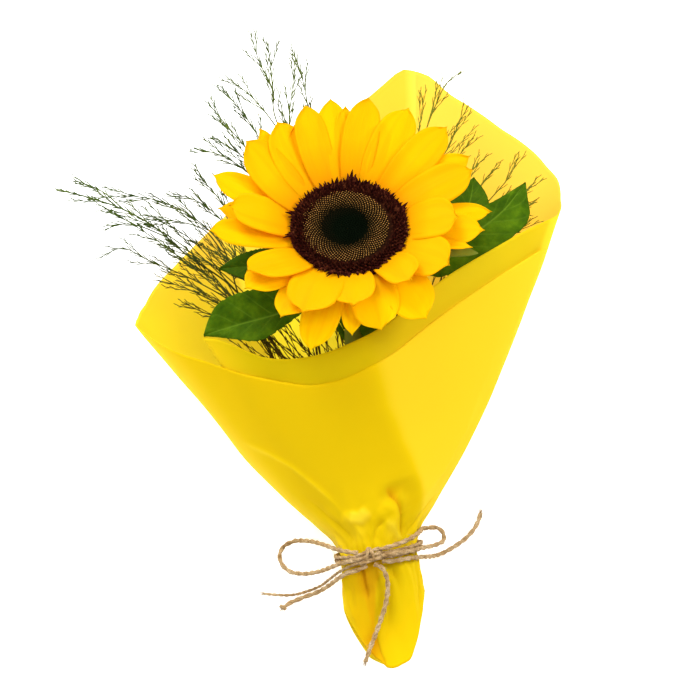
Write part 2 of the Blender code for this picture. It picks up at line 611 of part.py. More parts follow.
def make_leaf(name, midrib, half_width, stalk, collection, material):
    """A toothed blade, folded a little along its midrib, on a stalk that meets the stem."""
    line = smooth_way(midrib, LEAF_ROWS + 1)
    blade = bmesh.new()
    bmesh.ops.create_grid(blade, x_segments=4, y_segments=LEAF_ROWS, size=0.5)
    for corner in blade.verts:
        row = round((corner.co.y + 0.5) * LEAF_ROWS)
        v = corner.co.x * 2.0
        ahead = line[min(row + 1, LEAF_ROWS)] - line[max(row - 1, 0)]
        side = ahead.cross(Vector((0, 0, 1))).normalized()
        tooth = 1.0 + (TOOTH_WIDTH if row % 2 else -TOOTH_WIDTH)
        half = half_width * line_at(row / LEAF_ROWS, LEAF_OUTLINE) * tooth
        fold = (LEAF_FOLD * half + LEAF_WAVE * sin(2.1 * row)) * abs(v)
        corner.co = line[row] + side * (v * half) + Vector((0, 0, fold))
        if abs(v) > 0.9:
            corner.co += ahead.normalized() * (TOOTH_LENGTH if row % 2 else 0.0)
    bmesh.ops.triangulate(blade, faces=blade.faces)
    bmesh.ops.recalc_face_normals(blade, faces=blade.faces)
    bmesh.ops.solidify(blade, geom=blade.faces[:], thickness=LEAF_THICK)
    body = add_mesh("blade", blade, collection, material)
    way = smooth_way([*seat_on_stem(Vector(stalk[0])), *stalk[1:]], STALK_POINTS)
    tube = add_tube("stalk", way, STALK_RADIUS, collection, material, sides=1)
    return fuse(name, body, [as_mesh(tube, collection, material)], collection, material)


# Sprays
def make_spray(name, stem, twigs, collection, material, rng):
    """A thin stem that branches into twigs, with short needles all round their outer part."""
    stem_way = smooth_way(stem, max(8, round(way_length([Vector(p) for p in stem]) / 20)))
    body = add_tube("stem", stem_way, SPRAY_STEM_RADIUS, collection, material, sides=0, tip=TWIG_TIP)
    ways = [stem_way[len(stem_way) // 2:]] if name in STEMS_WITH_NEEDLES else []
    pieces = []
    for twig in twigs:
        count = max(4, round(way_length([Vector(p) for p in twig]) / 16))
        way = smooth_way(twig, count)
        nearest = min((p for line in [stem_way, *ways] for p in line), key=lambda p: (p - way[0]).length)
        if (nearest - way[0]).length > 0.5:
            way.insert(0, nearest)
        ways.append(way)
        tube = add_tube("twig", way, TWIG_RADIUS, collection, material, sides=0, tip=TWIG_TIP)
        pieces.append(as_mesh(tube, collection, material))
    for way in ways:
        length = way_length(way)
        spin = rng.uniform(0, 360)
        for k in range(int(length * NEEDLED_SHARE / NEEDLE_SPACING)):
            place, ahead = point_on(way, length - 2.0 - k * NEEDLE_SPACING)
            spin += GOLDEN_ANGLE
            pieces.append(needle(place, ahead, spin, collection, material))
    body = as_mesh(body, collection, material)
    return fuse(name, body, pieces, collection, material)


def point_on(way, distance):
    """The place and the direction at a distance along a way."""
    for a, b in zip(way, way[1:]):
        step = (b - a).length
        if distance <= step:
            return a + (b - a) * (distance / step), (b - a).normalized()
        distance -= step
    return way[-1], (way[-1] - way[-2]).normalized()


def needle(place, ahead, spin, collection, material):
    """A three-sided needle that leans forward from its twig."""
    aside = ahead.orthogonal().normalized()
    aside.rotate(Matrix.Rotation(radians(spin), 3, ahead))
    lean = radians(NEEDLE_LEAN)
    axis = ahead * cos(lean) + aside * sin(lean)
    shape = bmesh.new()
    bmesh.ops.create_cone(shape, cap_ends=True, segments=3, radius1=NEEDLE_RADIUS,
                          radius2=NEEDLE_TIP, depth=NEEDLE_LENGTH)
    turn = axis.to_track_quat("Z", "Y").to_matrix().to_4x4()
    middle = place + axis * (NEEDLE_LENGTH / 2)
    bmesh.ops.transform(shape, matrix=Matrix.Translation(middle) @ turn, verts=shape.verts)
    return add_mesh("needle", shape, collection, material, smooth=False)


def main():
    for old in list(bpy.data.objects):
        bpy.data.objects.remove(old)
    collection = bpy.data.collections.new("sunflower_bunch")
    bpy.context.scene.collection.children.link(collection)
    rng = random.Random(7)
    materials = {name: make_material(name) for name in COLOURS}
    make_paper(collection, materials["paper"])
    make_twine(collection, materials["twine"])
    make_petals(collection, materials["petal"], rng)
    make_disc(collection, materials["disc"])
    make_stem(collection, materials["stem"], rng)
    for name, (midrib, half_width, stalk) in LEAVES.items():
        make_leaf(name, midrib, half_width, stalk, collection, materials["leaf"])
    for name, (stem, twigs) in SPRAYS.items():
        make_spray(name, stem, twigs, collection, materials["spray"], rng)


main()
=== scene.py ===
# %% [markdown]
# # One sunflower in a tied paper cone
# The real thing is a small bouquet: a sunflower with a few of its own leaves and some feathery
# sprays, rolled in one sheet of yellow paper and tied at the neck with jute twine. The plain
# solids of every piece come from the frame. This script dresses each of them, from the outside
# in: twine, paper, flower, leaves and sprays.

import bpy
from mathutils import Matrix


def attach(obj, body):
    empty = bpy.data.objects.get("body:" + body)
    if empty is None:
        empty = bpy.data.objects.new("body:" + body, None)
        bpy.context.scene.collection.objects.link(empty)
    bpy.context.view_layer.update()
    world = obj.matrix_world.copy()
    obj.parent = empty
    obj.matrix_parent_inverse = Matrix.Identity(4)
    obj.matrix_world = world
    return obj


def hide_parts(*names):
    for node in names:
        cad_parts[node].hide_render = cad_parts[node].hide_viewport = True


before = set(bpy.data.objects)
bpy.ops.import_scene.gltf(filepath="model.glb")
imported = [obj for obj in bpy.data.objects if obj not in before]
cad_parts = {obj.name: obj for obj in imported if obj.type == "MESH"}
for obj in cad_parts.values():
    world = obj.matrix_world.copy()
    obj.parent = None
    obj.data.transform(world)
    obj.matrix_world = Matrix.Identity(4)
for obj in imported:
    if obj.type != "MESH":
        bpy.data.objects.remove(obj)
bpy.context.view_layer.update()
print("nodes in the frame:", len(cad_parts))

# %% The other modules
import random
from math import cos, exp, hypot, pi, radians, sin, sqrt

import bmesh
import bpy
import numpy as np
from mathutils import Matrix, Vector, noise

# %% [markdown]
# ## The camera
# The photograph looks down on the bunch from a little below its tied end. The camera sits on a
# sphere round a target near the middle of the bunch, so its place needs only two angles and a
# distance, and the lens follows from how wide the picture is at the target.

# %% Place the camera
CAMERA_AZIMUTH = radians(-10.0)
CAMERA_ELEVATION = radians(70.0)
CAMERA_DISTANCE = 1.4
CAMERA_TARGET = Vector((0.004, 0.0, 0.03))
PICTURE_WIDTH = 0.35
SENSOR = 36.0

back = Vector((sin(CAMERA_AZIMUTH) * cos(CAMERA_ELEVATION),
               -cos(CAMERA_AZIMUTH) * cos(CAMERA_ELEVATION), sin(CAMERA_ELEVATION)))
camera = bpy.data.objects.new("camera", bpy.data.cameras.new("camera"))
camera.data.sensor_width = SENSOR
camera.data.lens = SENSOR * CAMERA_DISTANCE / PICTURE_WIDTH
camera.data.clip_end = 10.0
camera.location = CAMERA_TARGET + back * CAMERA_DISTANCE
camera.rotation_euler = (-back).to_track_quat("-Z", "Y").to_euler()
bpy.context.scene.collection.objects.link(camera)
bpy.context.scene.camera = camera
print("camera at", tuple(round(x, 3) for x in camera.location))

# %% [markdown]
# ## Helpers that every piece shares
# The numbers below are in millimetres, as one thinks of a bouquet, and meshes are scaled to
# metres as they are finished. A smooth way runs through a few given points, and a column
# reader does the same for a table, so that outlines need few numbers.

# %% Curves through points
MM = 0.001
UP = Vector((0.0, 0.0, 1.0))


def hermite(t, a, b, slope_a, slope_b):
    """A smooth step from a to b, with the slope at each end."""
    return ((2 * t**3 - 3 * t**2 + 1) * a + (t**3 - 2 * t**2 + t) * slope_a
            + (3 * t**2 - 2 * t**3) * b + (t**3 - t**2) * slope_b)


def value_at(x, table, column=1):
    """Reads a column of a table at x, a number or an array, along a smooth curve."""
    xs = np.array([row[0] for row in table], float)
    ys = np.array([row[column] for row in table], float)
    slopes = np.gradient(ys, xs)
    k = np.clip(np.searchsorted(xs, x) - 1, 0, len(xs) - 2)
    span = xs[k + 1] - xs[k]
    return hermite((x - xs[k]) / span, ys[k], ys[k + 1], span * slopes[k], span * slopes[k + 1])


def line_at(x, table):
    """Reads a two-column table at x, with straight runs between its rows."""
    rows = sorted(table)
    return np.interp(x, [row[0] for row in rows], [row[1] for row in rows])


def smooth_way(points, count):
    """Reads count points, evenly spread, from a smooth curve through a few given points."""
    knots = np.array(points, float)
    along = np.concatenate([[0.0], np.cumsum(np.linalg.norm(np.diff(knots, axis=0), axis=1))])
    slopes = np.gradient(knots, along, axis=0)
    way = []
    for s in np.linspace(0.0, along[-1], count):
        k = int(np.clip(np.searchsorted(along, s) - 1, 0, len(along) - 2))
        span = along[k + 1] - along[k]
        t = (s - along[k]) / span
        way.append(Vector(hermite(t, knots[k], knots[k + 1], span * slopes[k], span * slopes[k + 1])))
    return way


def way_length(points):
    return sum((b - a).length for a, b in zip(points, points[1:]))


def even_way(points, spacing, fewest=4):
    """A smooth way through a few points, with its own points about one spacing apart."""
    length = way_length([Vector(point) for point in points])
    return smooth_way(points, max(fewest, round(length / spacing)))


def step(edge, width, x):
    """0 below the edge, 1 above it, and smooth over the width between."""
    t = np.clip((x - edge) / width + 0.5, 0.0, 1.0)
    return t * t * (3 - 2 * t)


# %% Tubes along ways


def sections_along(way, closed=False):
    """A steady pair of side directions at each point of a way."""
    pairs = []
    normal = None
    for k in range(len(way)):
        ahead = way[(k + 1) % len(way)] if closed else way[min(k + 1, len(way) - 1)]
        behind = way[k - 1] if closed else way[max(k - 1, 0)]
        along = (ahead - behind).normalized()
        normal = along.orthogonal() if normal is None else normal - along * normal.dot(along)
        normal.normalize()
        pairs.append((normal.copy(), along.cross(normal)))
    return pairs


def add_tubes(shape, tubes, sides=8, closed=False):
    """Adds round tubes to a bmesh; each tube is a way and the radius at each of its points."""
    curve = bpy.data.curves.new("tubes", "CURVE")
    curve.dimensions = "3D"
    curve.bevel_depth = 1.0
    curve.bevel_resolution = (sides - 4) // 2
    curve.use_fill_caps = not closed
    for way, radii in tubes:
        spline = curve.splines.new("POLY")
        spline.points.add(len(way) - 1)
        for spot, point, radius in zip(spline.points, way, radii):
            spot.co = (*point, 1.0)
            spot.radius = radius
        spline.use_cyclic_u = closed
    holder = bpy.data.objects.new("tubes", curve)
    mesh = bpy.data.meshes.new_from_object(holder)
    shape.from_mesh(mesh)
    bpy.data.meshes.remove(mesh)
    bpy.data.objects.remove(holder)
    bpy.data.curves.remove(curve)


def tapered(way, first, last):
    """A way with radii that fall evenly from first to last."""
    return way, [first + (last - first) * k / (len(way) - 1) for k in range(len(way))]


# %% [markdown]
# ### Finishing a mesh
# Every piece is built in a bmesh, where operators such as create_grid and spin leave clean
# faces. The steps that repeat are helpers: number layers that a material reads, a profile spun
# into a round body, faces turned outwards, and a wall for an open sheet.

# %% Steps that the pieces share
MERGE_WITHIN = 0.001
made = []


def new_layers(shape, *names):
    """Adds number layers to a bmesh, which a material reads as attributes."""
    return [shape.verts.layers.float.new(name) for name in names]


def face_outwards(shape):
    bmesh.ops.recalc_face_normals(shape, faces=shape.faces)


def spun(profile, steps):
    """A bmesh with a profile of (radius, height) points spun round the upright axis."""
    shape = bmesh.new()
    corners = [shape.verts.new((r, 0.0, z)) for r, z in profile]
    edges = [shape.edges.new(pair) for pair in zip(corners, corners[1:])]
    bmesh.ops.spin(shape, geom=corners + edges, axis=(0, 0, 1), cent=(0, 0, 0), angle=2 * pi,
                   steps=steps, use_merge=True, use_duplicate=False)
    bmesh.ops.remove_doubles(shape, verts=shape.verts, dist=MERGE_WITHIN)
    return shape


def add_wall(piece, thickness, offset):
    """Gives an open sheet its thickness in millimetres; an offset of -1 puts it all inside."""
    wall = piece.modifiers.new("wall", "SOLIDIFY")
    wall.thickness = thickness * MM
    wall.offset = offset


def finish_piece(name, shape, material, nodes=(), smooth=True):
    """Turns a bmesh in millimetres into a piece in metres that rides on the bunch's one body."""
    bmesh.ops.scale(shape, vec=(MM, MM, MM), verts=shape.verts)
    mesh = bpy.data.meshes.new(name)
    shape.to_mesh(mesh)
    shape.free()
    mesh.materials.append(material)
    if smooth:
        mesh.shade_smooth()
    piece = bpy.data.objects.new(name, mesh)
    bpy.context.scene.collection.objects.link(piece)
    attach(piece, "root")
    if nodes:
        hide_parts(*nodes)
    made.append(piece)
    print(name, len(mesh.polygons), "faces")
    return piece

# %% [markdown]
# ## Materials
# A material is a colour that varies, a roughness and a fine relief. The helpers make the links
# of that chain: tones from a noise, mixed by an attribute where a piece has one, and a bump from
# a finer noise. Leaves, petals and thin paper also let light through, which a Translucent shader
# mixed in by a fixed share gives.

# %% A material maker


def link(tree, source, target):
    tree.links.new(source, target)


def new_node(tree, kind, **values):
    """A shader node with its input values set by name."""
    node = tree.nodes.new(kind)
    for key, value in values.items():
        node.inputs[key.replace("_", " ")].default_value = value
    return node


def noise_of(tree, coordinates, scale, detail=4.0, roughness=0.55):
    node = new_node(tree, "ShaderNodeTexNoise", Scale=scale, Detail=detail, Roughness=roughness)
    link(tree, coordinates, node.inputs["Vector"])
    return node.outputs["Fac"]


def ramp_of(tree, factor, stops):
    """A colour ramp with (place, colour) stops."""
    node = tree.nodes.new("ShaderNodeValToRGB")
    bar = node.color_ramp
    while len(bar.elements) < len(stops):
        bar.elements.new(0.5)
    for element, (place, colour) in zip(bar.elements, stops):
        element.position = place
        element.color = (*colour, 1.0)
    link(tree, factor, node.inputs["Fac"])
    return node.outputs["Color"]


def mix_of(tree, factor, first, second, blend="MIX"):
    """Mixes two colours; factor, first and second are sockets or plain values."""
    node = tree.nodes.new("ShaderNodeMix")
    node.data_type = "RGBA"
    node.blend_type = blend
    for key, value in (("Factor", factor), ("A", first), ("B", second)):
        socket = next(s for s in node.inputs if s.name == key and s.enabled)
        if isinstance(value, bpy.types.NodeSocket):
            link(tree, value, socket)
        elif isinstance(value, (int, float)):
            socket.default_value = value
        else:
            socket.default_value = (*value, 1.0)
    return next(s for s in node.outputs if s.name == "Result" and s.enabled)


def attribute_of(tree, name):
    node = tree.nodes.new("ShaderNodeAttribute")
    node.attribute_name = name
    return node.outputs["Fac"]


def dress(tree, shader, colour, relief=None, depth=0.0, strength=1.0):
    """Wires a colour to the shader, and a relief with its depth in metres where there is one."""
    link(tree, colour, shader.inputs["Base Color"])
    if relief is not None:
        bump = new_node(tree, "ShaderNodeBump", Strength=strength, Distance=depth)
        link(tree, relief, bump.inputs["Height"])
        link(tree, bump.outputs["Normal"], shader.inputs["Normal"])


def start_material(name, roughness, specular=0.3):
    """An empty material: its tree, its main shader and its object coordinates."""
    material = bpy.data.materials.new(name)
    material.use_nodes = True
    tree = material.node_tree
    shader = tree.nodes["Principled BSDF"]
    shader.inputs["Roughness"].default_value = roughness
    shader.inputs["Specular IOR Level"].default_value = specular
    place = tree.nodes.new("ShaderNodeTexCoord").outputs["Object"]
    return material, tree, shader, place


def let_light_through(tree, shader, colour, share):
    """Mixes a Translucent shader of the same colour into the surface."""
    through = tree.nodes.new("ShaderNodeBsdfTranslucent")
    link(tree, colour, through.inputs["Color"])
    blend = tree.nodes.new("ShaderNodeMixShader")
    blend.inputs["Fac"].default_value = share
    link(tree, shader.outputs["BSDF"], blend.inputs[1])
    link(tree, through.outputs["BSDF"], blend.inputs[2])
    output = next(n for n in tree.nodes if n.type == "OUTPUT_MATERIAL")
    link(tree, blend.outputs["Shader"], output.inputs["Surface"])


# %% [markdown]
# ## Twine
# Jute twine is two hairy strands laid round each other. Each strand is modelled as its own
# tube on a helix about the cord's way, which gives the twist and its grooves for real. The ways
# are the same as those of the plain cords, so the bow keeps its shape. Stray fibres come last.

# %% Routes of the bow
TWINE = 2.8
THIN_TWINE = 1.8
CORDS = {
    "twine_loop_left": (TWINE, (
        (-10.9, -105.7, 35.3), (-14.5, -104.4, 34.3), (-19.3, -101.5, 31.0), (-26.4, -94.6, 22.0),
        (-34.4, -88.2, 11.0), (-40.2, -85.8, 4.5), (-44.9, -86.8, 2.0), (-47.5, -90.5, 1.6),
        (-47.2, -95.6, 1.6), (-44.1, -99.9, 2.4), (-38.6, -103.2, 6.0), (-32.0, -105.6, 13.0),
        (-25.0, -107.6, 24.0), (-18.4, -108.6, 33.0), (-14.0, -109.1, 35.8), (-10.9, -109.3, 36.3))),
    "twine_loop_right": (TWINE, (
        (0.0, -106.0, 35.4), (7.1, -105.0, 35.2), (14.5, -103.0, 33.5), (20.0, -99.6, 29.5),
        (26.1, -93.6, 15.5), (31.7, -94.3, 14.1), (33.4, -96.4, 14.1), (33.5, -100.0, 14.7),
        (28.3, -104.2, 20.3), (22.5, -105.8, 25.0), (15.1, -108.4, 33.0), (7.7, -109.2, 36.0),
        (0.2, -109.4, 36.3))),
    "twine_end_left": (TWINE, (
        (-7.6, -112.3, 33.7), (-11.6, -113.5, 33.4), (-16.5, -113.3, 30.8), (-21.6, -113.6, 24.5),
        (-27.0, -113.6, 13.0), (-33.0, -113.6, 4.5), (-40.6, -114.4, 1.9), (-46.7, -115.8, 1.6),
        (-50.4, -117.6, 1.6))),
    "twine_end_left_thin": (THIN_TWINE, (
        (-10.9, -110.4, 33.0), (-14.4, -110.6, 32.0), (-19.4, -110.8, 27.6), (-25.6, -110.8, 15.5),
        (-31.6, -110.8, 4.0), (-38.0, -111.4, 1.2), (-44.5, -111.8, 1.1), (-51.5, -110.6, 1.1),
        (-58.4, -108.7, 1.1))),
    "twine_end_right": (TWINE, (
        (0.3, -111.6, 33.9), (4.8, -112.2, 33.7), (12.1, -111.6, 31.4), (19.0, -110.4, 25.6),
        (25.0, -108.2, 15.5), (31.2, -105.2, 6.0), (38.3, -101.8, 2.0), (44.8, -98.5, 1.6),
        (50.2, -94.3, 1.6), (53.2, -90.5, 1.6), (55.0, -86.8, 1.6))),
    "twine_end_down": (TWINE, (
        (-3.9, -112.5, 34.4), (-0.8, -114.4, 33.9), (0.9, -118.5, 32.3), (0.7, -124.2, 29.3),
        (-1.6, -131.0, 26.0), (-5.2, -137.6, 22.6), (-9.8, -145.0, 18.6), (-13.6, -151.0, 16.0),
        (-15.6, -154.4, 13.6))),
}
FAR_ENDS = {"twine_loop_left": "object", "twine_loop_right": "object", "twine_end_left": "knot"}

# %% The twine's material
twine_material, tree, shader, place = start_material("jute", roughness=0.9, specular=0.05)
patches = noise_of(tree, place, 260.0)
fibres = noise_of(tree, place, 2400.0, detail=3.0)
tones = ramp_of(tree, patches, ((0.3, (0.34, 0.20, 0.075)), (0.5, (0.52, 0.35, 0.17)),
                                (0.72, (0.69, 0.52, 0.31))))
shades = ramp_of(tree, fibres, ((0.35, (0.35, 0.32, 0.28)), (0.6, (1.0, 1.0, 1.0))))
colour = mix_of(tree, 0.8, tones, shades, "MULTIPLY")
dress(tree, shader, colour, fibres, depth=0.0003)
print("material", twine_material.name)

# %% Two strands laid round a way
LAY_LENGTH = 3.3
STRAND_SHARE = 0.275
STRAND_OFFSET = 0.15
STRAND_STEP = 0.4
STRAND_SIDES = 10


def strands_of(way, diameter, closed=False):
    """The two strands of a twine, as tubes on two helices round the way."""
    pairs = sections_along(way, closed)
    turns = max(1, round(way_length(way) / (LAY_LENGTH * diameter)))
    spans = len(way) if closed else len(way) - 1
    strands = []
    for strand in range(2):
        centres = []
        for k, (point, (across, up)) in enumerate(zip(way, pairs)):
            turn = 2 * pi * turns * k / spans + pi * strand
            centres.append(point + (across * cos(turn) + up * sin(turn)) * diameter * STRAND_OFFSET)
        strands.append(tapered(centres, diameter * STRAND_SHARE, diameter * STRAND_SHARE))
    return strands


all_ways = []
for name, (diameter, route) in CORDS.items():
    way = even_way(route, STRAND_STEP)
    shape = bmesh.new()
    add_tubes(shape, strands_of(way, diameter), STRAND_SIDES)
    face_outwards(shape)
    cord = finish_piece(name.replace("twine", "jute"), shape, twine_material, [name])
    all_ways.append((diameter, way))
    print(name, "is", round(way_length(way)), "mm long")

# %% [markdown]
# ## The floor and the light
# A bouquet like this is photographed on white, with large soft lamps and hardly a shadow. A
# pale floor, a bright surround and two big lamps do the same. The key lamp stands to the right,
# as the folds of the paper are lighter on that side.

# %% Floor
FLOOR_SIZE = 6.0
FLOOR_GREY = 0.9
FLOOR_GLOW = 0.62
FLOOR_DROP = 0.0002
floor_material, tree, shader, place = start_material("pale_floor", roughness=0.9, specular=0.1)
shader.inputs["Base Color"].default_value = (FLOOR_GREY, FLOOR_GREY, FLOOR_GREY, 1.0)
shader.inputs["Emission Color"].default_value = (1.0, 1.0, 1.0, 1.0)
shader.inputs["Emission Strength"].default_value = FLOOR_GLOW
floor_shape = bmesh.new()
bmesh.ops.create_grid(floor_shape, x_segments=1, y_segments=1, size=FLOOR_SIZE / 2)
floor_mesh = bpy.data.meshes.new("floor")
floor_shape.to_mesh(floor_mesh)
floor_shape.free()
floor_mesh.materials.append(floor_material)
floor = bpy.data.objects.new("floor", floor_mesh)
floor.location.z = -FLOOR_DROP
bpy.context.scene.collection.objects.link(floor)
print("floor of", FLOOR_SIZE, "metres")

# %% Lamps and surround
# name, place, size, power
LAMPS = (
    ("key", (1.1, 0.1, 1.2), 0.8, 19.0),
    ("fill", (-1.2, -0.5, 1.2), 1.6, 11.0),
    ("top", (0.0, 0.2, 2.0), 2.0, 10.0),
    ("mouth", (-0.4, 1.2, 1.0), 0.9, 25.0),
)
LAMPS_AIM = Vector((0.0, 0.0, 0.04))
SURROUND_STRENGTH = 0.42
for name, spot, size, power in LAMPS:
    lamp = bpy.data.objects.new(name, bpy.data.lights.new(name, "AREA"))
    lamp.data.shape = "DISK"
    lamp.data.size = size
    lamp.data.energy = power
    lamp.location = spot
    lamp.rotation_euler = (Vector(spot) - LAMPS_AIM).to_track_quat("Z", "Y").to_euler()
    bpy.context.scene.collection.objects.link(lamp)
world = bpy.data.worlds.new("surround")
world.use_nodes = True
surround = world.node_tree.nodes["Background"]
surround.inputs["Color"].default_value = (1.0, 1.0, 1.0, 1.0)
surround.inputs["Strength"].default_value = SURROUND_STRENGTH
bpy.context.scene.world = world
bpy.context.scene.view_settings.view_transform = "Standard"
print("lamps:", len(LAMPS))

# %% [markdown]
# ## The paper cone
# One sheet is rolled about one turn and a third round the stems and gathered by the twine. Each
# point of the sheet is given by an angle round the cone and a place along it, so its rim and its
# tail are read from two small tables, and creases can be laid along lines on it.

# %% Sections, rims and layers of the cone
PAPER_THICK = 0.3
LAYER_GAP = 1.8
LAYER_STEP = 48.0
TIE_Y = -104.0
ARCH_Y = -95.0
ARCH_HEIGHT = 3.7
ARCH_REACH = 20.0
FLAT_FROM = 0.93
SIDE_CURL = 1.2
ROOF_CURL = 1.1
# y, reach to the left, reach to the right, height of the sides, height of the top
CONE = (
    (-166, 17.0, 15.0, 7.0, 11.0), (-145, 19.5, 17.5, 9.0, 17.0), (-124, 21.5, 20.0, 13.0, 25.5),
    (-112, 20.5, 20.5, 15.5, 29.5), (-104, 19.5, 20.0, 16.5, 30.5), (-95, 20.5, 22.5, 16.5, 33.0),
    (-82, 29.0, 33.0, 16.5, 38.0), (-69, 38.0, 44.0, 17.5, 43.0), (-40, 57.5, 66.5, 20.0, 55.0),
    (-8, 76.0, 87.0, 25.0, 68.0), (20, 93.0, 104.5, 30.0, 77.0), (50, 110.0, 121.5, 37.0, 84.0),
    (100, 137.0, 149.0, 42.0, 90.0), (166, 168.0, 180.0, 46.0, 95.0),
)
# Where the sheet is cut off, by the angle round the cone: 90 is the front, 0 the right side,
# -90 the back, which lies on the surface, -180 the left side and -270 the front again
RIM = (
    (142, 10.5), (132, 4.5), (128, -3), (123, -7), (114, -11), (103, -12.5), (91, -11.5),
    (79, -6), (68, 5), (58, 16), (52, 21), (46, 25.5), (39, 31), (29, 38.5), (13, 46.5),
    (4, 50), (-5, 56), (-12, 62), (-22, 77), (-30, 87), (-48, 116), (-61, 143), (-65, 156),
    (-70, 163), (-76, 150), (-80, 143), (-111, 93), (-121, 79.5), (-129, 69.5), (-138, 60),
    (-149, 48), (-155, 43.5), (-160, 39.5), (-170, 34), (-180, 30.5), (-190, 20), (-200, 9),
    (-215, -2), (-223, -10), (-240, -20), (-253, -26), (-268, -26.5), (-283, -20), (-295, -8.5),
    (-309, 4.5), (-323, 16.5), (-332, 23), (-343, 31), (-348, 33),
)
TAIL = (
    (147, -127), (132, -130), (90, -137), (50, -132), (0, -122), (-40, -140), (-70, -152), (-100, -156),
    (-130, -150), (-160, -132), (-180, -122), (-200, -131), (-225, -149), (-250, -159),
    (-264, -160), (-295, -157), (-312, -147), (-335, -130), (-348, -124),
)
FIRST_ANGLE, LAST_ANGLE = 142.0, -348.0


def edge_at(angle, table):
    """Reads a rim's table at an angle, with its corners rounded, and less so behind."""
    soft = 0.2 + 0.8 * step(95.0, 20.0, np.abs(angle + 85.0))
    return sum(line_at(angle + soft * shift, table) for shift in (-5.0, -2.5, 0.0, 2.5, 5.0)) / 5.0


def underside(y):
    """Height of the paper's back: on the surface, but for an arch over the twine."""
    return ARCH_HEIGHT * np.maximum(0.0, 1.0 - ((y - ARCH_Y) / ARCH_REACH) ** 2)


def section_at(y):
    """Left reach, right reach, side height and top height of the cone at y."""
    return [value_at(y, CONE, column) for column in (1, 2, 3, 4)]


def outline_points(angle, y, inset=0.0):
    """Points of the cone's smooth outline, or inset millimetres inside it, as an array."""
    c, s = np.cos(np.radians(angle)), np.sin(np.radians(angle))
    left, right, side, top = section_at(y)
    reach = np.where(c > 0, right, left) - inset
    low = underside(y)
    roof = side + (top - inset - side) * np.maximum(s, 0.0) ** ROOF_CURL
    floor_line = low + (side - low) * np.clip(1.0 + s / FLAT_FROM, 0.0, 1.0) ** SIDE_CURL
    return np.stack(np.broadcast_arrays(reach * c, y, np.where(s >= 0.0, roof, floor_line)), axis=-1)


def paper_inset(angle):
    """The layer inside the overlap lies one gap within the layer outside it."""
    return LAYER_GAP * np.clip(1.0 + angle / LAYER_STEP, 0.0, 1.0) * (1 - 0.6 * step(132, 20, angle))


# %% [markdown]
# ### Gathers and creases
# Paper keeps the marks of how it was handled. Near the twine it is squeezed into pleats, which
# fade towards the wide end. Above them run a few longer creases. A crease here is a line on the
# sheet with a height, a width on each side, and a fade at its ends: one side gentle and the
# other steep, as where paper bends. Many creases also change the tone along their line: a
# painted highlight on a ridge and painted shade in a valley.

# %% Pleats and creases
PLEATS = 9
PLEAT_DEPTH = 0.07
PLEAT_REACH = 20.0
# line of (angle, y), height, width on its left, width on its right, sharpness, change of tone,
# which is painted light on a ridge and painted shade in a valley
CREASES = (
    (((88, 30), (84, -12), (79, -42), (72, -58), (61, -72), (46, -83), (32, -89)), 4.6, 20, 30, 1.2, 0),
    (((163, -39), (150, -48), (139, -58), (130, -70), (122, -82)), 0.9, 1.6, 1.3, 1.2, 0.30),
    (((115, -87), (105, -89), (94, -86)), 1.4, 2.8, 2.8, 4.0, 0.26),
    (((82, -84), (74, -79), (66, -78), (59, -81), (54, -86), (47, -94)), -2.0, 3.2, 3.2, 2.5, -0.10),
    (((78, -77), (71, -82), (62, -88), (55, -94), (50, -100)), -2.4, 1.3, 1.3, 1.0, -0.44),
    (((82, -84), (72, -89), (64, -97)), 1.4, 1.8, 2.2, 1.4, 0.0),
    (((78, -92), (66, -98), (56, -102)), 1.8, 1.5, 1.6, 1.0, 0.20),
    (((79, -92), (88, -94), (100, -102)), -1.8, 1.6, 1.6, 1.0, -0.28),
    (((24, -80), (28, -90), (47, -101)), -2.0, 2.2, 2.2, 1.0, -0.14),
    (((124, -99), (132, -92), (141, -84), (148, -72)), -1.4, 3.0, 3.0, 1.0, -0.04),
    (((108, -99), (114, -91), (120, -84)), 1.2, 2.5, 2.5, 1.0, 0.04),
    (((122, -108), (120, -115), (116, -126)), -2.6, 2.2, 2.0, 1.1, -0.30),
    (((80, -110), (87, -128), (104, -146)), -1.6, 3.0, 3.0, 1.2, -0.06),
    (((118, -141), (115, -152), (110, -159)), -1.2, 4.5, 1.0, 1.5, -0.30),
    (((76, -109), (73, -119)), -2.0, 2.0, 2.0, 1.0, -0.20),
    (((98, -110), (99, -118), (104, -132)), 1.4, 3.0, 3.5, 1.0, 0),
    (((60, -110), (52, -124), (50, -140)), 1.6, 4.0, 4.0, 1.0, 0.06),
    (((38, -110), (34, -122), (38, -136)), -1.2, 3.0, 3.0, 1.0, -0.06),
    (((150, -110), (146, -124), (140, -136)), 1.2, 4.0, 4.0, 1.0, 0),
    (((-30, 20), (-40, 60), (-52, 104)), 1.6, 9.0, 9.0, 1.2, 0),
    (((-150, -30), (-140, 10), (-135, 44)), 1.2, 8.0, 8.0, 1.2, 0),
    (((-68, 60), (-66, 100), (-69, 150)), 1.0, 8.0, 8.0, 1.2, 0),
    (((200, -20), (186, -50), (176, -80)), 1.2, 9.0, 6.0, 1.2, 0),
)
LIFT_LIMIT = 5.5
# A crease grows at its ends from a fifth of its height to all of it, over this rate
FADE_START, FADE_RATE = 0.2, 4
# Below this angle the sheet is in front again, so that its creases are counted from 191 down
FRONT_FROM = -169.0


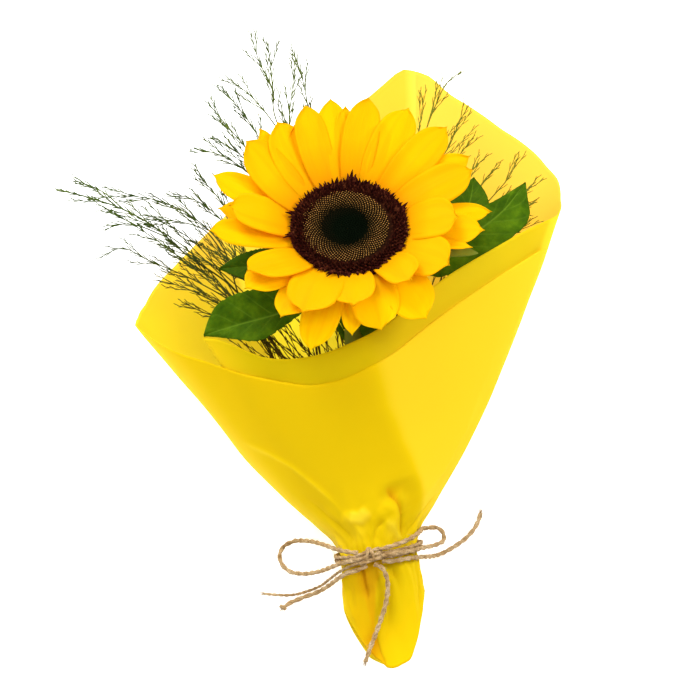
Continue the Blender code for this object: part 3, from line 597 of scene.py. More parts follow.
def crease_marks(angle, y, girth):
    """How far the creases lift the sheet, and their painted light and shade; girth is its millimetres a
    degree.
    """
    front = np.where(angle < FRONT_FROM, angle + 360.0, angle)
    lift = np.zeros_like(y)
    painted_crease_shading = np.zeros_like(y)
    for line, height, left, right, sharpness, tone in CREASES:
        best = np.full_like(y, 1e9)
        side = np.zeros_like(y)
        share = np.zeros_like(y)
        for k, ((angle_a, y_a), (angle_b, y_b)) in enumerate(zip(line, line[1:])):
            run = np.stack([np.full_like(y, angle_b - angle_a) * girth, np.full_like(y, y_b - y_a)])
            gap = np.stack([(front - angle_a) * girth, y - y_a])
            t = np.clip((run * gap).sum(axis=0) / (run * run).sum(axis=0), 0.0, 1.0)
            away = gap - run * t
            length = np.hypot(*away)
            nearer = length < best
            best = np.where(nearer, length, best)
            side = np.where(nearer, away[0], side)
            share = np.where(nearer, (k + t) / (len(line) - 1), share)
        width = np.where(side > 0, left, right)
        fade = np.minimum(1.0, FADE_RATE * np.minimum(share, 1 - share) + FADE_START)
        mark = fade * np.exp(-(best / width) ** sharpness)
        lift += height * mark
        painted_crease_shading += tone * mark
    return np.clip(lift, -LIFT_LIMIT, LIFT_LIMIT), painted_crease_shading


# %% Points of the sheet
SHEET_ACROSS = 310
SHEET_ALONG = 150
CRUMPLE, CRUMPLE_SCALE = 0.55, 0.05
NECK_CRUMPLE, NECK_CRUMPLE_SCALE = 1.1, 0.13
NECK_Y = -96.0
NECK_REACH = 28.0
NECK_ROWS = 1.8
PLEAT_SWAY = 1.3
PLEAT_LEAN = 0.02


def spread_rows(first, last, share):
    """Places from first to last, with the rows closer together round the neck."""
    places = np.linspace(-170.0, 170.0, 700)
    density = 1.0 + NECK_ROWS * np.exp(-(((places - NECK_Y) / NECK_REACH) ** 2))
    passed = np.cumsum(density)
    begin, end = np.interp(first, places, passed), np.interp(last, places, passed)
    return np.interp(begin + (end - begin) * share, passed, places)


def paper_corners(angle, y, inset):
    """Points of the sheet's outer face with its pleats, creases and crumples, and their painted light and
    shade.
    """
    points = outline_points(angle, y, inset)
    left, right, side, top = section_at(y)
    middle = np.stack([np.zeros_like(y), y, 0.5 * (underside(y) + top)], axis=-1)
    out = points - middle
    turn = np.radians(angle)
    near_tie = np.exp(-(((y - TIE_Y) / PLEAT_REACH) ** 2))
    # The back lies on the surface, so it stays free of pleats and creases
    free = step(-0.5, 0.3, np.sin(turn))
    wave = PLEATS * turn + PLEAT_SWAY * np.sin(3 * turn) + PLEAT_LEAN * (y - TIE_Y)
    pleat = 0.5 - 0.5 * np.cos(wave)
    uneven = 1.0 + 0.6 * np.sin(2 * turn + 1.0) + 0.4 * np.sin(5 * turn)
    points = middle + out * (1.0 - PLEAT_DEPTH * near_tie * pleat * uneven * free)[:, None]
    wide, fine = CRUMPLE_SCALE, NECK_CRUMPLE_SCALE
    rough = np.array([noise.noise(Vector((a * wide, b * wide, c))) * CRUMPLE
                      + noise.noise(Vector((a * fine, b * fine, c + 9))) * NECK_CRUMPLE * n
                      for a, b, c, n in zip(angle, y, inset, near_tie)])
    lift, painted_crease_shading = crease_marks(angle, y, (left + right) * pi / 360.0)
    away = out / np.linalg.norm(out, axis=1, keepdims=True)
    return points + away * ((lift + rough) * free)[:, None], painted_crease_shading * free


# %% [markdown]
# ### Tones of the sheet
# Thin coloured paper changes its tone with what lies behind it and how it faces the light. The
# places where it does are known by angle and y, so a tone for each point is worked out here and
# kept on the mesh, and the material turns it into a colour: 0 is deep orange, 1 brightest.

# %% Tones
PLAIN_TONE = 0.45
SHADE_LEFT_OF_RIDGE, LIGHT_RIGHT_OF_RIDGE = 0.14, 0.22
LIGHT_AT_LEFT_WALL = 0.45
LIGHT_AT_NECK, NECK_LIGHT_Y, NECK_LIGHT_REACH = 0.16, -92.0, 14.0
LIGHT_INSIDE = 0.25
TAIL_FOLD = ((-155.0, 126.0), (-140.0, 114.0), (-120.0, 98.0), (-108.0, 84.0))
TAIL_SHADE, TAIL_SHADE_EASED = 0.34, 0.12
BACK_TONE, BACK_LIGHT_FAR, BACK_LIGHT_RISING = 0.86, 0.07, 0.105
# Painted shade, as olive, where one layer covers the dark inside: its share, and how much more it takes
# towards the left
OLIVE_LEFT, OLIVE_RISE = 0.64, 0.24


def front_tones(angles, ys, inner):
    """Tones of the front: beside the long ridge, at the left wall, the neck and the tail."""
    fronts = np.where(angles < FRONT_FROM, angles + 360.0, angles)
    ridge = np.interp(ys, *zip(*sorted((y, angle) for angle, y in CREASES[0][0])))
    tones = PLAIN_TONE - SHADE_LEFT_OF_RIDGE * step(0.0, 10.0, fronts - ridge) * step(-95.0, 40.0, ys)
    tones += LIGHT_RIGHT_OF_RIDGE * step(0.0, 12.0, ridge - fronts) * step(-88.0, 16.0, ys)
    tones += LIGHT_AT_LEFT_WALL * step(160.0, 50.0, fronts)
    tones += LIGHT_AT_NECK * np.exp(-(((ys - NECK_LIGHT_Y) / NECK_LIGHT_REACH) ** 2))
    tones += LIGHT_INSIDE * inner * step(122.0, 20.0, angles)
    left_of_fold = step(0.0, 10.0, fronts - line_at(ys, TAIL_FOLD)) * step(108.0, 8.0, -ys)
    return tones - left_of_fold * (TAIL_SHADE - TAIL_SHADE_EASED * step(118.0, 6.0, fronts))


def back_tones(angles, ys):
    """Tones of the back's inside: brighter far out and where it rises, and orange at its edge."""
    rising = step(-58.0, 40.0, angles)
    tones = BACK_TONE + BACK_LIGHT_FAR * step(70.0, 90.0, ys) * (1 - rising) + BACK_LIGHT_RISING * rising
    return tones + (1.0 - tones) * (1 - step(-68.0, 4.0, angles)) * step(95.0, 50.0, ys)


def olive_share(angles, ys, inner):
    """How much olive painted shade the inner layer takes past the rim of the layer in front of it, as the
    dark inside shows through.
    """
    past_rim = step(0.0, 1.5, ys - edge_at(angles - 360.0, RIM))
    share = past_rim * inner * (1 - 0.9 * step(134.0, 18.0, angles))
    return share * (OLIVE_LEFT + OLIVE_RISE * step(72.0, 50.0, angles))


# %% Make the sheet
paper_shape = bmesh.new()
bmesh.ops.create_grid(paper_shape, x_segments=SHEET_ACROSS, y_segments=SHEET_ALONG, size=0.5)
olive_layer, tone_layer = new_layers(paper_shape, "olive", "tone")
flat = np.array([corner.co[:2] for corner in paper_shape.verts]) + 0.5
angles = FIRST_ANGLE + (LAST_ANGLE - FIRST_ANGLE) * flat[:, 0]
ys = spread_rows(edge_at(angles, TAIL), edge_at(angles, RIM), flat[:, 1])
inner = step(14.0, 4.0, angles)
behind = step(0.0, 20.0, -angles) * step(0.0, 20.0, angles + 180.0)
tones = front_tones(angles, ys, inner)
tones += (back_tones(angles, ys) - tones) * behind
places, painted_crease_shadings = paper_corners(angles, ys, paper_inset(angles))
# The creases' painted highlights and painted shade join the tone, except on the back
tones += painted_crease_shadings * (1 - behind)
for corner, co, dark, tone in zip(paper_shape.verts, places, olive_share(angles, ys, inner), tones):
    corner.co = co
    corner[olive_layer] = dark
    corner[tone_layer] = tone
face_outwards(paper_shape)
print("sheet of", len(paper_shape.faces), "faces")

# %% [markdown]
# ### The paper's finish
# The paper is thin and dyed right through. Where two layers lie together it is a clean bright
# yellow. Where one layer covers the dark inside, the shade showing through is painted olive, and
# in the gathers painted shade deepens the yellow towards orange. Fine fibres give a faint relief.

# %% Material of the paper, and the finished sheet
paper_material, tree, shader, place = start_material("yellow_paper", roughness=0.7, specular=0.08)
cloud = noise_of(tree, place, 9.0, detail=3.0)
fibre = noise_of(tree, place, 900.0, detail=5.0, roughness=0.7)
# The tone, which carries the sheet's painted light and shade, picks the colour
base = ramp_of(tree, attribute_of(tree, "tone"), (
    (0.0, (0.84, 0.46, 0.0)), (0.14, (0.89, 0.56, 0.0)), (0.28, (0.87, 0.64, 0.0)),
    (0.5, (0.92, 0.70, 0.0)), (0.72, (1.0, 0.79, 0.025)), (0.86, (0.96, 0.82, 0.035)),
    (0.93, (1.0, 0.72, 0.075)), (0.965, (0.94, 0.66, 0.07)), (1.0, (0.93, 0.53, 0.035))))
clouds = mix_of(tree, cloud, (0.92, 0.90, 0.85), (1.0, 1.0, 1.0))
base = mix_of(tree, 1.0, base, clouds, "MULTIPLY")
# Painted shade: olive where one layer covers the dark inside
colour = mix_of(tree, attribute_of(tree, "olive"), base, (0.72, 0.57, 0.0))
dress(tree, shader, colour, fibre, depth=0.00006)
let_light_through(tree, shader, colour, share=0.4)

paper = finish_piece("yellow_paper", paper_shape, paper_material, ["paper_wrap"])
add_wall(paper, PAPER_THICK, -1.0)

# %% [markdown]
# ## Two turns of twine and the knot
# The turns follow the squeezed neck of the cone and lean a little towards the stem's end in
# front. The knot is two short turns of the same twine round the strands, so it is made with the
# same two strands as the rest.

# %% Turns and knot
TURN_TWINE = 2.4
TURN_SPACING = 2.2
TURN_SLOPE = 6.5
TURN_Y = -101.5
TURN_GAP = 0.2
TURN_POINTS = 260
NEARBY = 4.0
KNOT_AT = Vector((-5.5, -107.6, 34.9))
KNOT_POINTS = 40
# lean, width, height and shift of each small turn
KNOT_TURNS = ((0.9, 3.0, 2.6, -1.0), (-0.6, 2.7, 2.8, 1.3))
# the strands through the knot, how far each lies aside
THROUGH = (-3.1, -0.9, 1.3)
THROUGH_SHARE = 0.9
THROUGH_XS = np.linspace(-5.4, 5.4, 18)


def turn_way(shift):
    """One turn of twine round the neck, leaning towards the stem's end in front."""
    way = []
    for k in range(TURN_POINTS):
        angle = 360.0 * k / TURN_POINTS
        y = TURN_Y - TURN_SLOPE * sin(radians(angle)) + shift
        along = outline_points(angle + NEARBY, y) - outline_points(angle - NEARBY, y)
        out = Vector((along[2], 0.0, -along[0])).normalized()
        way.append(Vector(outline_points(angle, y)) + out * (TURN_TWINE / 2 + TURN_GAP))
    return way


def knot_way(lean, width, height, shift):
    """A small tight turn of twine across the bundle at the knot."""
    way = []
    for k in range(KNOT_POINTS):
        turn = 2 * pi * k / KNOT_POINTS
        way.append(KNOT_AT + Vector((shift + lean * cos(turn), width * cos(turn), height * sin(turn))))
    return way


band_shape = bmesh.new()
for shift in (-TURN_SPACING / 2, TURN_SPACING / 2):
    add_tubes(band_shape, strands_of(turn_way(shift), TURN_TWINE, True), STRAND_SIDES, closed=True)
for numbers in KNOT_TURNS:
    add_tubes(band_shape, strands_of(knot_way(*numbers), TURN_TWINE, True), STRAND_SIDES, closed=True)
for aside in THROUGH:
    cross = [KNOT_AT + Vector((x, aside + 0.15 * x, 1.2 - 0.02 * x * x)) for x in THROUGH_XS]
    add_tubes(band_shape, strands_of(cross, TWINE * THROUGH_SHARE), STRAND_SIDES)
face_outwards(band_shape)
finish_piece("jute_turns_and_knot", band_shape, twine_material, ["twine_band"])

# %% [markdown]
# ### The knot at an end
# A cut end of jute opens up unless it is tied. One end has such a small knot: one short turn of
# the same two strands, set across the end.

# %% The knot at an end
END_KNOT_RADIUS = 1.25
END_KNOT_LEAN = 0.5
END_KNOT_HEIGHT = 0.8
END_KNOT_RISE = 0.7
END_KNOT_SHARE = 0.8
END_KNOT_POINTS = 30

end_knots = bmesh.new()
for name, (diameter, route) in CORDS.items():
    if FAR_ENDS.get(name) == "knot":
        end = Vector(route[-1]) + UP * END_KNOT_RISE
        ahead = (Vector(route[-1]) - Vector(route[-2])).normalized()
        across = ahead.cross(UP) * END_KNOT_RADIUS + ahead * END_KNOT_LEAN
        turns = [2 * pi * k / END_KNOT_POINTS for k in range(END_KNOT_POINTS)]
        ring = [end + across * cos(turn) + UP * END_KNOT_HEIGHT * sin(turn) for turn in turns]
        add_tubes(end_knots, strands_of(ring, diameter * END_KNOT_SHARE, True), STRAND_SIDES, closed=True)
face_outwards(end_knots)
finish_piece("jute_end_knot", end_knots, twine_material)

# %% [markdown]
# ### Stray fibres
# Jute is hairy: short fibres stand off all along it, and a cut end opens into a tuft. Each fibre
# is a thin bent tube with only four sides, because there are more than a thousand of them.

# %% Stray fibres
HAIRS_PER_MM = 1.6
HAIR_LENGTH = (1.0, 3.0)
HAIR_LEAN = (0.2, 0.8)
HAIR_BEND = 0.3
HAIR_RADIUS = 0.055
HAIR_TIP = 0.02
HAIR_FLOOR = 0.2
HAIRY_TURNS = (-1.3, 1.3)
FRAYED = 26
FRAY_SPREAD = 0.6
FRAY_LENGTH = (1.0, 3.4)
FRAY_FLOOR = 0.3
FRAY_THICK, FRAY_TIP = 2.2, 0.04
rng = random.Random(11)

hairs = []
for diameter, way in all_ways + [(TWINE, turn_way(shift)) for shift in HAIRY_TURNS]:
    pairs = sections_along(way)
    for _ in range(int(way_length(way) * HAIRS_PER_MM)):
        k = rng.randrange(1, len(way) - 1)
        turn = rng.uniform(0, 2 * pi)
        side = pairs[k][0] * cos(turn) + pairs[k][1] * sin(turn)
        along = (way[k + 1] - way[k - 1]).normalized() * rng.choice((-1, 1))
        direction = (along + side * rng.uniform(*HAIR_LEAN)).normalized()
        root = way[k] + side * diameter * 0.4
        reach = direction * rng.uniform(*HAIR_LENGTH)
        if (root + reach).z > HAIR_FLOOR:
            bent = root + reach + Vector((0, 0, rng.uniform(-HAIR_BEND, HAIR_BEND)))
            hairs.append(tapered([root, root + reach * 0.5, bent], HAIR_RADIUS, HAIR_TIP))
for name, (diameter, route) in CORDS.items():
    if FAR_ENDS.get(name) != "object":
        way = smooth_way(route, 40)
        ahead = (way[-1] - way[-3]).normalized()
        for _ in range(FRAYED):
            aside = Vector([rng.uniform(-1, 1) for _ in range(3)]) * FRAY_SPREAD
            tip = way[-1] + (ahead + aside).normalized() * rng.uniform(*FRAY_LENGTH)
            tip.z = max(tip.z, FRAY_FLOOR)
            tuft = [way[-3], way[-1] + aside * FRAY_SPREAD, tip]
            hairs.append(tapered(tuft, HAIR_RADIUS * FRAY_THICK, FRAY_TIP))
hair_shape = bmesh.new()
add_tubes(hair_shape, hairs, 4)
finish_piece("jute_fibres", hair_shape, twine_material, smooth=False)

# %% [markdown]
# ## The flower head
# A sunflower's head is a flat dish of tiny florets with a collar of ray petals. All of it is
# built about one middle point and one facing direction, so a head matrix places everything.

# %% The head's place
HEAD_AT = Vector((11, 46, 78))
HEAD_FACING = Vector((0.042, 0.238, 0.970)).normalized()
HEAD_RIGHT = Vector((0.985, -0.174, 0.0))


def head_matrix():
    up = HEAD_FACING.cross(HEAD_RIGHT).normalized()
    right = up.cross(HEAD_FACING).normalized()
    turn = Matrix((right, up, HEAD_FACING)).transposed().to_4x4()
    return Matrix.Translation(HEAD_AT) @ turn


HEAD = head_matrix()

# %% [markdown]
# ### Petals
# Ray petals are long blades with a narrow root, a broad middle and a blunt point. Each has a
# shallow trough with fine ribs, and bends as it grows. They stand in three rows, and the front
# row tilts most towards the viewer. Every petal below has its direction, the reach and the
# height of its tip, its width, and how far its middle arches up.

# %% The petals' table
PETAL_ROOT = 25.5
# direction, reach of the tip, height of the tip, width, arch of the middle, sideways bend
PETALS = (
    ((112, 67, 17, 17, 3, -4), (83, 69, 17, 18, 3, -2), (46, 71, 15, 19, 3, 0), (24, 67, 12, 21, 3, -1),
     (359, 54, 14, 23, 5, -3), (329, 58, 11, 24, 5, -1), (309, 52, 14, 19, 6, -3), (274, 56, 12, 21, 6, -1),
     (250, 62, 10, 26, 8, 0), (222, 59, 11, 20, 6, -7), (178, 58, 15, 23, 4, 0), (146, 65, 16, 23, 3, -6)),
    ((99, 69, 16, 16, 3, -2), (65, 70, 15, 20, 3, -1), (128, 65, 14, 21, 3, -6), (162, 71, 10, 18, 3, -3),
     (192, 68, 10, 18, 4, -5), (222, 64, 5, 20, 5, -3), (243, 65, 4, 20, 6, -3), (287, 62, -2, 24, 5, -2),
     (307, 66, -1, 24, 5, -2), (355, 67, 7, 19, 3, -1), (33, 70, 11, 16, 3, -3)),
    ((92, 65, 14, 11, 3, -1), (7, 71, 4, 12, 3, -2), (345, 63, 7, 7, 3, -1), (256, 70, -8, 19, 4, -1),
     (273, 61, -5, 11, 2, -1), (137, 68, 12, 12, 3, -8), (74, 59, 12, 14, 3, -2), (119, 61, 12, 15, 3, -3),
     (174, 64, 8, 15, 3, 1)),
)
ROW_HEIGHTS = (-0.8, -1.4, -2.0)
PETAL_OUTLINE = (
    (0, 0.68), (0.12, 0.80), (0.3, 0.95), (0.5, 1.0), (0.66, 0.98), (0.8, 0.83), (0.9, 0.58),
    (0.96, 0.33), (1.0, 0.04),
)
PETAL_THICK = 0.45
PETAL_ACROSS = 14
PETAL_ALONG = 26

# %% [markdown]
# A petal starts as a flat grid. Its rows are moved along a bent middle line from root to tip,
# and its columns spread sideways by the outline. Solidify then gives the blade its thickness.

# %% One petal, and the whole collar
RIBS = 1.7
RIB_HEIGHT = 0.30
TROUGH, TROUGH_LEVEL = 0.6, 0.35
RIPPLE = 0.5
TIP_NOTCH = 1.6
TWIST = (0.05, 0.14)
# Painted light for petals in shade, and painted shade for raised front petals that face the light
LIGHT_PAINTED_WHEN_LOW, LIGHT_PAINTED_IN_LOWER_ROWS = 0.7, 0.18
LOW_TIP, LOW_TIP_SPAN = 6.0, 12.0
SHADE_PAINTED_WHEN_RAISED, SHADE_PAINTED_FROM = 0.6, 7


def bend_line(root, middle, tip, t):
    """A point of the simple curve from root to tip that leans towards the middle."""
    return root * (1 - t) ** 2 + middle * 2 * t * (1 - t) + tip * t ** 2


def add_petal(shape, direction, reach, rise, width, arch, bend, lift):
    """Adds one petal blade, in the head's own coordinates, to a bmesh."""
    grid = bmesh.ops.create_grid(shape, x_segments=PETAL_ACROSS, y_segments=PETAL_ALONG, size=0.5)
    turn = radians(direction)
    out = Vector((cos(turn), sin(turn), 0.0))
    side = Vector((-sin(turn), cos(turn), 0.0))
    root = out * PETAL_ROOT + UP * lift
    tip = out * reach + UP * rise + side * bend
    middle = (root + tip) / 2 + UP * arch - side * bend * 0.6
    twist = rng.uniform(*TWIST)
    wave = rng.uniform(0, 2 * pi)
    lines = rng.uniform(-0.8, 0.8)
    place_in_noise = rng.uniform(0, 50)
    # Painted light makes petals in shade, with low tips or in the lower rows, more lemon;
    # painted shade makes raised petals in front, which face the light, warmer
    painted_light = LIGHT_PAINTED_WHEN_LOW * max(0.0, min(1.0, (LOW_TIP - rise) / LOW_TIP_SPAN))
    painted_light += LIGHT_PAINTED_IN_LOWER_ROWS if lift < ROW_HEIGHTS[0] else 0.0
    painted_shade = SHADE_PAINTED_WHEN_RAISED * max(0.0, -sin(turn)) if rise > SHADE_PAINTED_FROM else 0.0
    for corner in grid["verts"]:
        u = corner.co.y + 0.5
        v = corner.co.x * 2.0
        half = 0.5 * width * value_at(u, PETAL_OUTLINE)
        trough = TROUGH * (v * v - TROUGH_LEVEL) * min(1.0, 4 * u) * (1 - 0.6 * u)
        ribs = RIB_HEIGHT * (cos(RIBS * pi * v + lines) + 0.3 * cos(2.9 * RIBS * pi * v))
        ribs *= min(1.0, 5 * u) * min(1.0, 3 * (1 - u))
        ripple = RIPPLE * abs(v) * sin(7 * u + wave + v) * u
        notch = -TIP_NOTCH * abs(v) * step(0.9, 0.2, u)
        corner[tip_layer] = u
        corner[across_layer] = v + place_in_noise
        corner[painted_light_layer] = painted_light
        corner[painted_shade_layer] = painted_shade
        corner.co = (bend_line(root, middle, tip, u) + side * (v * half) + out * notch
                     + UP * (trough + ribs + ripple + twist * v * half))


petal_shape = bmesh.new()
tip_layer, across_layer, painted_light_layer, painted_shade_layer = new_layers(
    petal_shape, "towards_tip", "across", "painted_light", "painted_shade")
rng = random.Random(5)
for row, lift in zip(PETALS, ROW_HEIGHTS):
    for numbers in row:
        add_petal(petal_shape, *numbers, lift)
bmesh.ops.transform(petal_shape, matrix=HEAD, verts=petal_shape.verts)
face_outwards(petal_shape)
print("petals:", sum(len(row) for row in PETALS))

# %% [markdown]
# ### The petals' finish
# A petal is orange yellow at its root and clearer towards its point, with fine dark lines along
# it. Noise that is stretched along the blade, on the petal's own two numbers, gives lines that
# follow its bend. Painted light makes the petals that lie in shade more lemon, and painted shade
# makes the raised ones in front, which face the light, warmer. The blade is thin, so about half
# of the light goes through it.

# %% Material of the petals
petal_material, tree, shader, place = start_material("ray_petal", roughness=0.6, specular=0.03)
tip_share = attribute_of(tree, "towards_tip")
across = attribute_of(tree, "across")
base = ramp_of(tree, tip_share, ((0.0, (0.86, 0.37, 0.0)), (0.25, (0.91, 0.49, 0.0)),
                                 (0.5, (0.92, 0.575, 0.0)), (1.0, (0.90, 0.53, 0.0))))
# Painted light turns petals in shade more lemon; painted shade turns raised front ones warmer
base = mix_of(tree, attribute_of(tree, "painted_light"), base, (0.97, 0.72, 0.0))
base = mix_of(tree, attribute_of(tree, "painted_shade"), base, (0.88, 0.49, 0.0))
join = tree.nodes.new("ShaderNodeCombineXYZ")
link(tree, across, join.inputs["X"])
link(tree, tip_share, join.inputs["Z"])
stretch = new_node(tree, "ShaderNodeMapping", Scale=(1.0, 1.0, 0.3))
link(tree, join.outputs["Vector"], stretch.inputs["Vector"])
grooves = noise_of(tree, stretch.outputs["Vector"], 2.6, detail=3.0)
lines = ramp_of(tree, grooves, ((0.46, (0.0, 0.0, 0.0)), (0.66, (1.0, 1.0, 1.0))))
colour = mix_of(tree, lines, base, (0.84, 0.38, 0.0))
colour = mix_of(tree, 0.78, colour, base)
dress(tree, shader, colour, grooves, depth=0.0003, strength=0.6)
let_light_through(tree, shader, colour, share=0.48)
petals = finish_piece("ray_petals", petal_shape, petal_material, ["sunflower_petals"])
add_wall(petals, PETAL_THICK, 0.0)

# %% [markdown]
# ### The disc
# The florets of the disc sit on spirals: each new one is turned by the golden angle from the
# last and moved out by the square root of its number. The young ones in the middle are closed
# and nearly black, those round them carry a golden tip, and the outer ones are open and spiky.

# %% The dish under the florets
GOLDEN_ANGLE = radians(137.508)
DISC_STEPS = 72
DISH = (
    (0, 2.0), (7, 2.3), (13, 2.8), (18.5, 2.9), (22.0, 2.7), (26, 3.0), (28.8, 2.2), (29.4, 0.9),
    (27.6, 0.3), (0, 0.3),
)
DISH_TOP = DISH[:7]
# where the open florets begin, the green of the middle ends and the gold begins: middle, width
OPEN_ZONE = (22.0, 3.0)
GREEN_ZONE = (13.0, 6.0)
GOLD_ZONE = (13.8, 8.5)
disc_shape = spun(DISH, DISC_STEPS)
open_layer, green_layer = new_layers(disc_shape, "gold", "open", "green")[1:]
for corner in disc_shape.verts:
    r = hypot(corner.co.x, corner.co.y)
    corner[open_layer] = step(*OPEN_ZONE, r)
    corner[green_layer] = 1.0 - step(*GREEN_ZONE, r)
print("dish of", len(disc_shape.faces), "faces")

# %% Closed florets
BUD_SPACING = 0.66
BUD_RADIUS = 0.40
BUD_STRETCH = 1.35
BUD_RISE = 0.35
BUDS_UNTIL = 21.4
BUD_SHIFT = Vector((-2.2, 0.6, 0.0))
BUD_TONES = 8
rng = random.Random(3)


def dish_height(r):
    return line_at(r, DISH_TOP)


def stamp(shape, mesh, matrix):
    """Adds a placed copy of a small mesh to a bmesh."""
    copy = mesh.copy()
    copy.transform(matrix)
    shape.from_mesh(copy)
    bpy.data.meshes.remove(copy)


def bud_mesh(golden):
    """A closed floret: a small tall ball, golden at its top or else green."""
    shape = bmesh.new()
    bmesh.ops.create_icosphere(shape, subdivisions=1, radius=BUD_RADIUS)
    gold, green = new_layers(shape, "gold", "green")
    for corner in shape.verts:
        corner[gold] = golden if corner.co.z > BUD_RADIUS * 0.5 else 0.0
        corner[green] = 1 - golden
        corner.co.z *= BUD_STRETCH
    mesh = bpy.data.meshes.new("bud")
    shape.to_mesh(mesh)
    shape.free()
    return mesh


bud_meshes = [bud_mesh(k / (BUD_TONES - 1)) for k in range(BUD_TONES)]
buds = 0
while BUD_SPACING * sqrt(buds) < BUDS_UNTIL:
    r = BUD_SPACING * sqrt(buds + 0.5)
    turn = buds * GOLDEN_ANGLE
    golden = step(*GOLD_ZONE, r) * rng.uniform(0.5, 1.0)
    place = Vector((r * cos(turn), r * sin(turn), dish_height(r) + BUD_RISE)) + BUD_SHIFT
    stamp(disc_shape, bud_meshes[round(golden * (BUD_TONES - 1))], Matrix.Translation(place))
    buds += 1
print("buds", buds)

# %% [markdown]
# ### Open florets
# The outer florets are open and stand up as dark spikes, the last ones leaning out over the
# petals' roots. They go on along the same spirals, and a ragged fringe and a few longer ones
# break the edge. A spike is a bent tube of three points.

# %% Open florets
OPEN_SPACING = 0.92
OPEN_UNTIL = 28.2
OPEN_LENGTH = (2.4, 3.8)
OPEN_THICK = 0.72
FRINGE = 60
FRINGE_RADIUS = 26.9
FRINGE_LENGTH = (1.8, 4.0)
FRINGE_BELOW = 2.2
FRINGE_THICK = 0.95
FRINGE_LEAN = (45, 75)
# direction and length of the longer ones
LONG_FLORETS = ((89, 7.5), (166, 6.5), (192, 8.0), (22, 6.0), (256, 9.0), (268, 6.5), (244, 6.0))
LONG_RADIUS = 27.4
LONG_THICK = 1.1
LONG_LEAN = 62
LONG_SWINGS = (-2.2, 0.0, 2.2)
DISC_SHIFT = Vector((0.9, -2.2, 0.0))
spikes = []


def add_spike(r, turn, length, thick, lean):
    """An open floret: a bent spike that leans outward."""
    root = Vector((r * cos(turn), r * sin(turn), dish_height(r) - 0.3))
    swing = turn + rng.uniform(-0.5, 0.5)
    aside = Vector((cos(swing), sin(swing), 0.0))
    first = UP * cos(lean * 0.6) + aside * sin(lean * 0.6)
    second = UP * cos(lean * 1.3) + aside * sin(lean * 1.3)
    bend = root + first * length * 0.5
    spikes.append(([root, bend, bend + second * length * 0.5], [thick, thick * 0.8, thick * 0.15]))


for k in range(int((BUDS_UNTIL / OPEN_SPACING) ** 2), int((OPEN_UNTIL / OPEN_SPACING) ** 2)):
    r = OPEN_SPACING * sqrt(k)
    share = (r - BUDS_UNTIL) / (OPEN_UNTIL - BUDS_UNTIL)
    length = rng.uniform(*OPEN_LENGTH)
    lean = radians(-5 + 60 * share * rng.uniform(0.6, 1.2))
    add_spike(r, k * GOLDEN_ANGLE, length, OPEN_THICK, lean)
for k in range(FRINGE):
    turn = 2 * pi * (k + rng.uniform(-0.5, 0.5)) / FRINGE
    length = rng.uniform(*FRINGE_LENGTH) + FRINGE_BELOW * max(0.0, -sin(turn)) ** 2
    add_spike(FRINGE_RADIUS, turn, length, FRINGE_THICK, radians(rng.uniform(*FRINGE_LEAN)))
for direction, length in LONG_FLORETS:
    for swing in LONG_SWINGS:
        turn = radians(direction + swing)
        add_spike(LONG_RADIUS, turn, length - abs(swing), LONG_THICK, radians(LONG_LEAN))
spike_shape = bmesh.new()
add_tubes(spike_shape, spikes, 4)
(spike_layer,) = new_layers(spike_shape, "open")
for corner in spike_shape.verts:
    corner[spike_layer] = 1.0
for shape in (disc_shape, spike_shape):
    bmesh.ops.translate(shape, vec=DISC_SHIFT, verts=shape.verts)
    bmesh.ops.transform(shape, matrix=HEAD, verts=shape.verts)
print("spikes", len(spikes))

# %% [markdown]
# ### The disc's finish
# Three values painted on the florets choose between near black green in the middle, gold on the
# ripe buds and a red brown on the open ones, where noise adds the paler tips.

# %% Material of the disc
disc_material, tree, shader, place = start_material("disc_florets", roughness=0.9, specular=0.03)
young = mix_of(tree, attribute_of(tree, "green"), (0.009, 0.003, 0.0006), (0.0008, 0.0026, 0.0004))
ripe = ramp_of(tree, noise_of(tree, place, 480.0, detail=3.0, roughness=0.7),
               ((0.38, (0.010, 0.0012, 0.0008)), (0.54, (0.034, 0.0045, 0.0025)),
                (0.70, (0.13, 0.036, 0.012))))
tone = mix_of(tree, attribute_of(tree, "open"), young, ripe)
dress(tree, shader, mix_of(tree, attribute_of(tree, "gold"), tone, (0.98, 0.50, 0.12)))
finish_piece("closed_florets", disc_shape, disc_material, ["sunflower_disc"], smooth=False)
finish_piece("open_florets", spike_shape, disc_material, smooth=False)

# %% [markdown]
# ## The stem, its cup and its bracts
# Under the head the stem widens into a green cup, with pointed bracts that lie behind the
# petals. Most of it is hidden by the paper, but the side views see it.

# %% Stem, cup and bracts
CUP_TOP = -4.3
CUP = (
    (0, 0.0), (23.9, 0.0), (23.9, CUP_TOP), (27.5, CUP_TOP), (27.0, CUP_TOP - 2.5),
    (20.0, CUP_TOP - 7.0), (11.0, CUP_TOP - 11.0), (6.5, CUP_TOP - 16.0), (0, CUP_TOP - 17.0),
)
CUP_STEPS = 48
STEM_RADIUS = 5.5
STEM = (
    (0, -138, 11.5), (0, -120, 14.5), (0, -104, 17), (0, -85, 19), (1, -60, 24), (3, -35, 32),
    (5, -12, 40), (8, 8, 46), (10, 25, 52), (10.5, 37, 59), (10.7, 42, 66),
)
BRACTS = 20
BRACT_LENGTH = (20, 27)
BRACT_WIDTH = 6.0
BRACT_SLOPE = 0.22
BRACT_LAYER = 0.5
BRACT_ROOT = 21.0
BRACT_DROP = 3.2
BRACT_THICK = 0.6
# turn, length, half width, slope and shift of the one bract that shows between the petals
LONG_BRACT = (radians(-11.5), 44.0, 8.5, -0.09, 0.0)

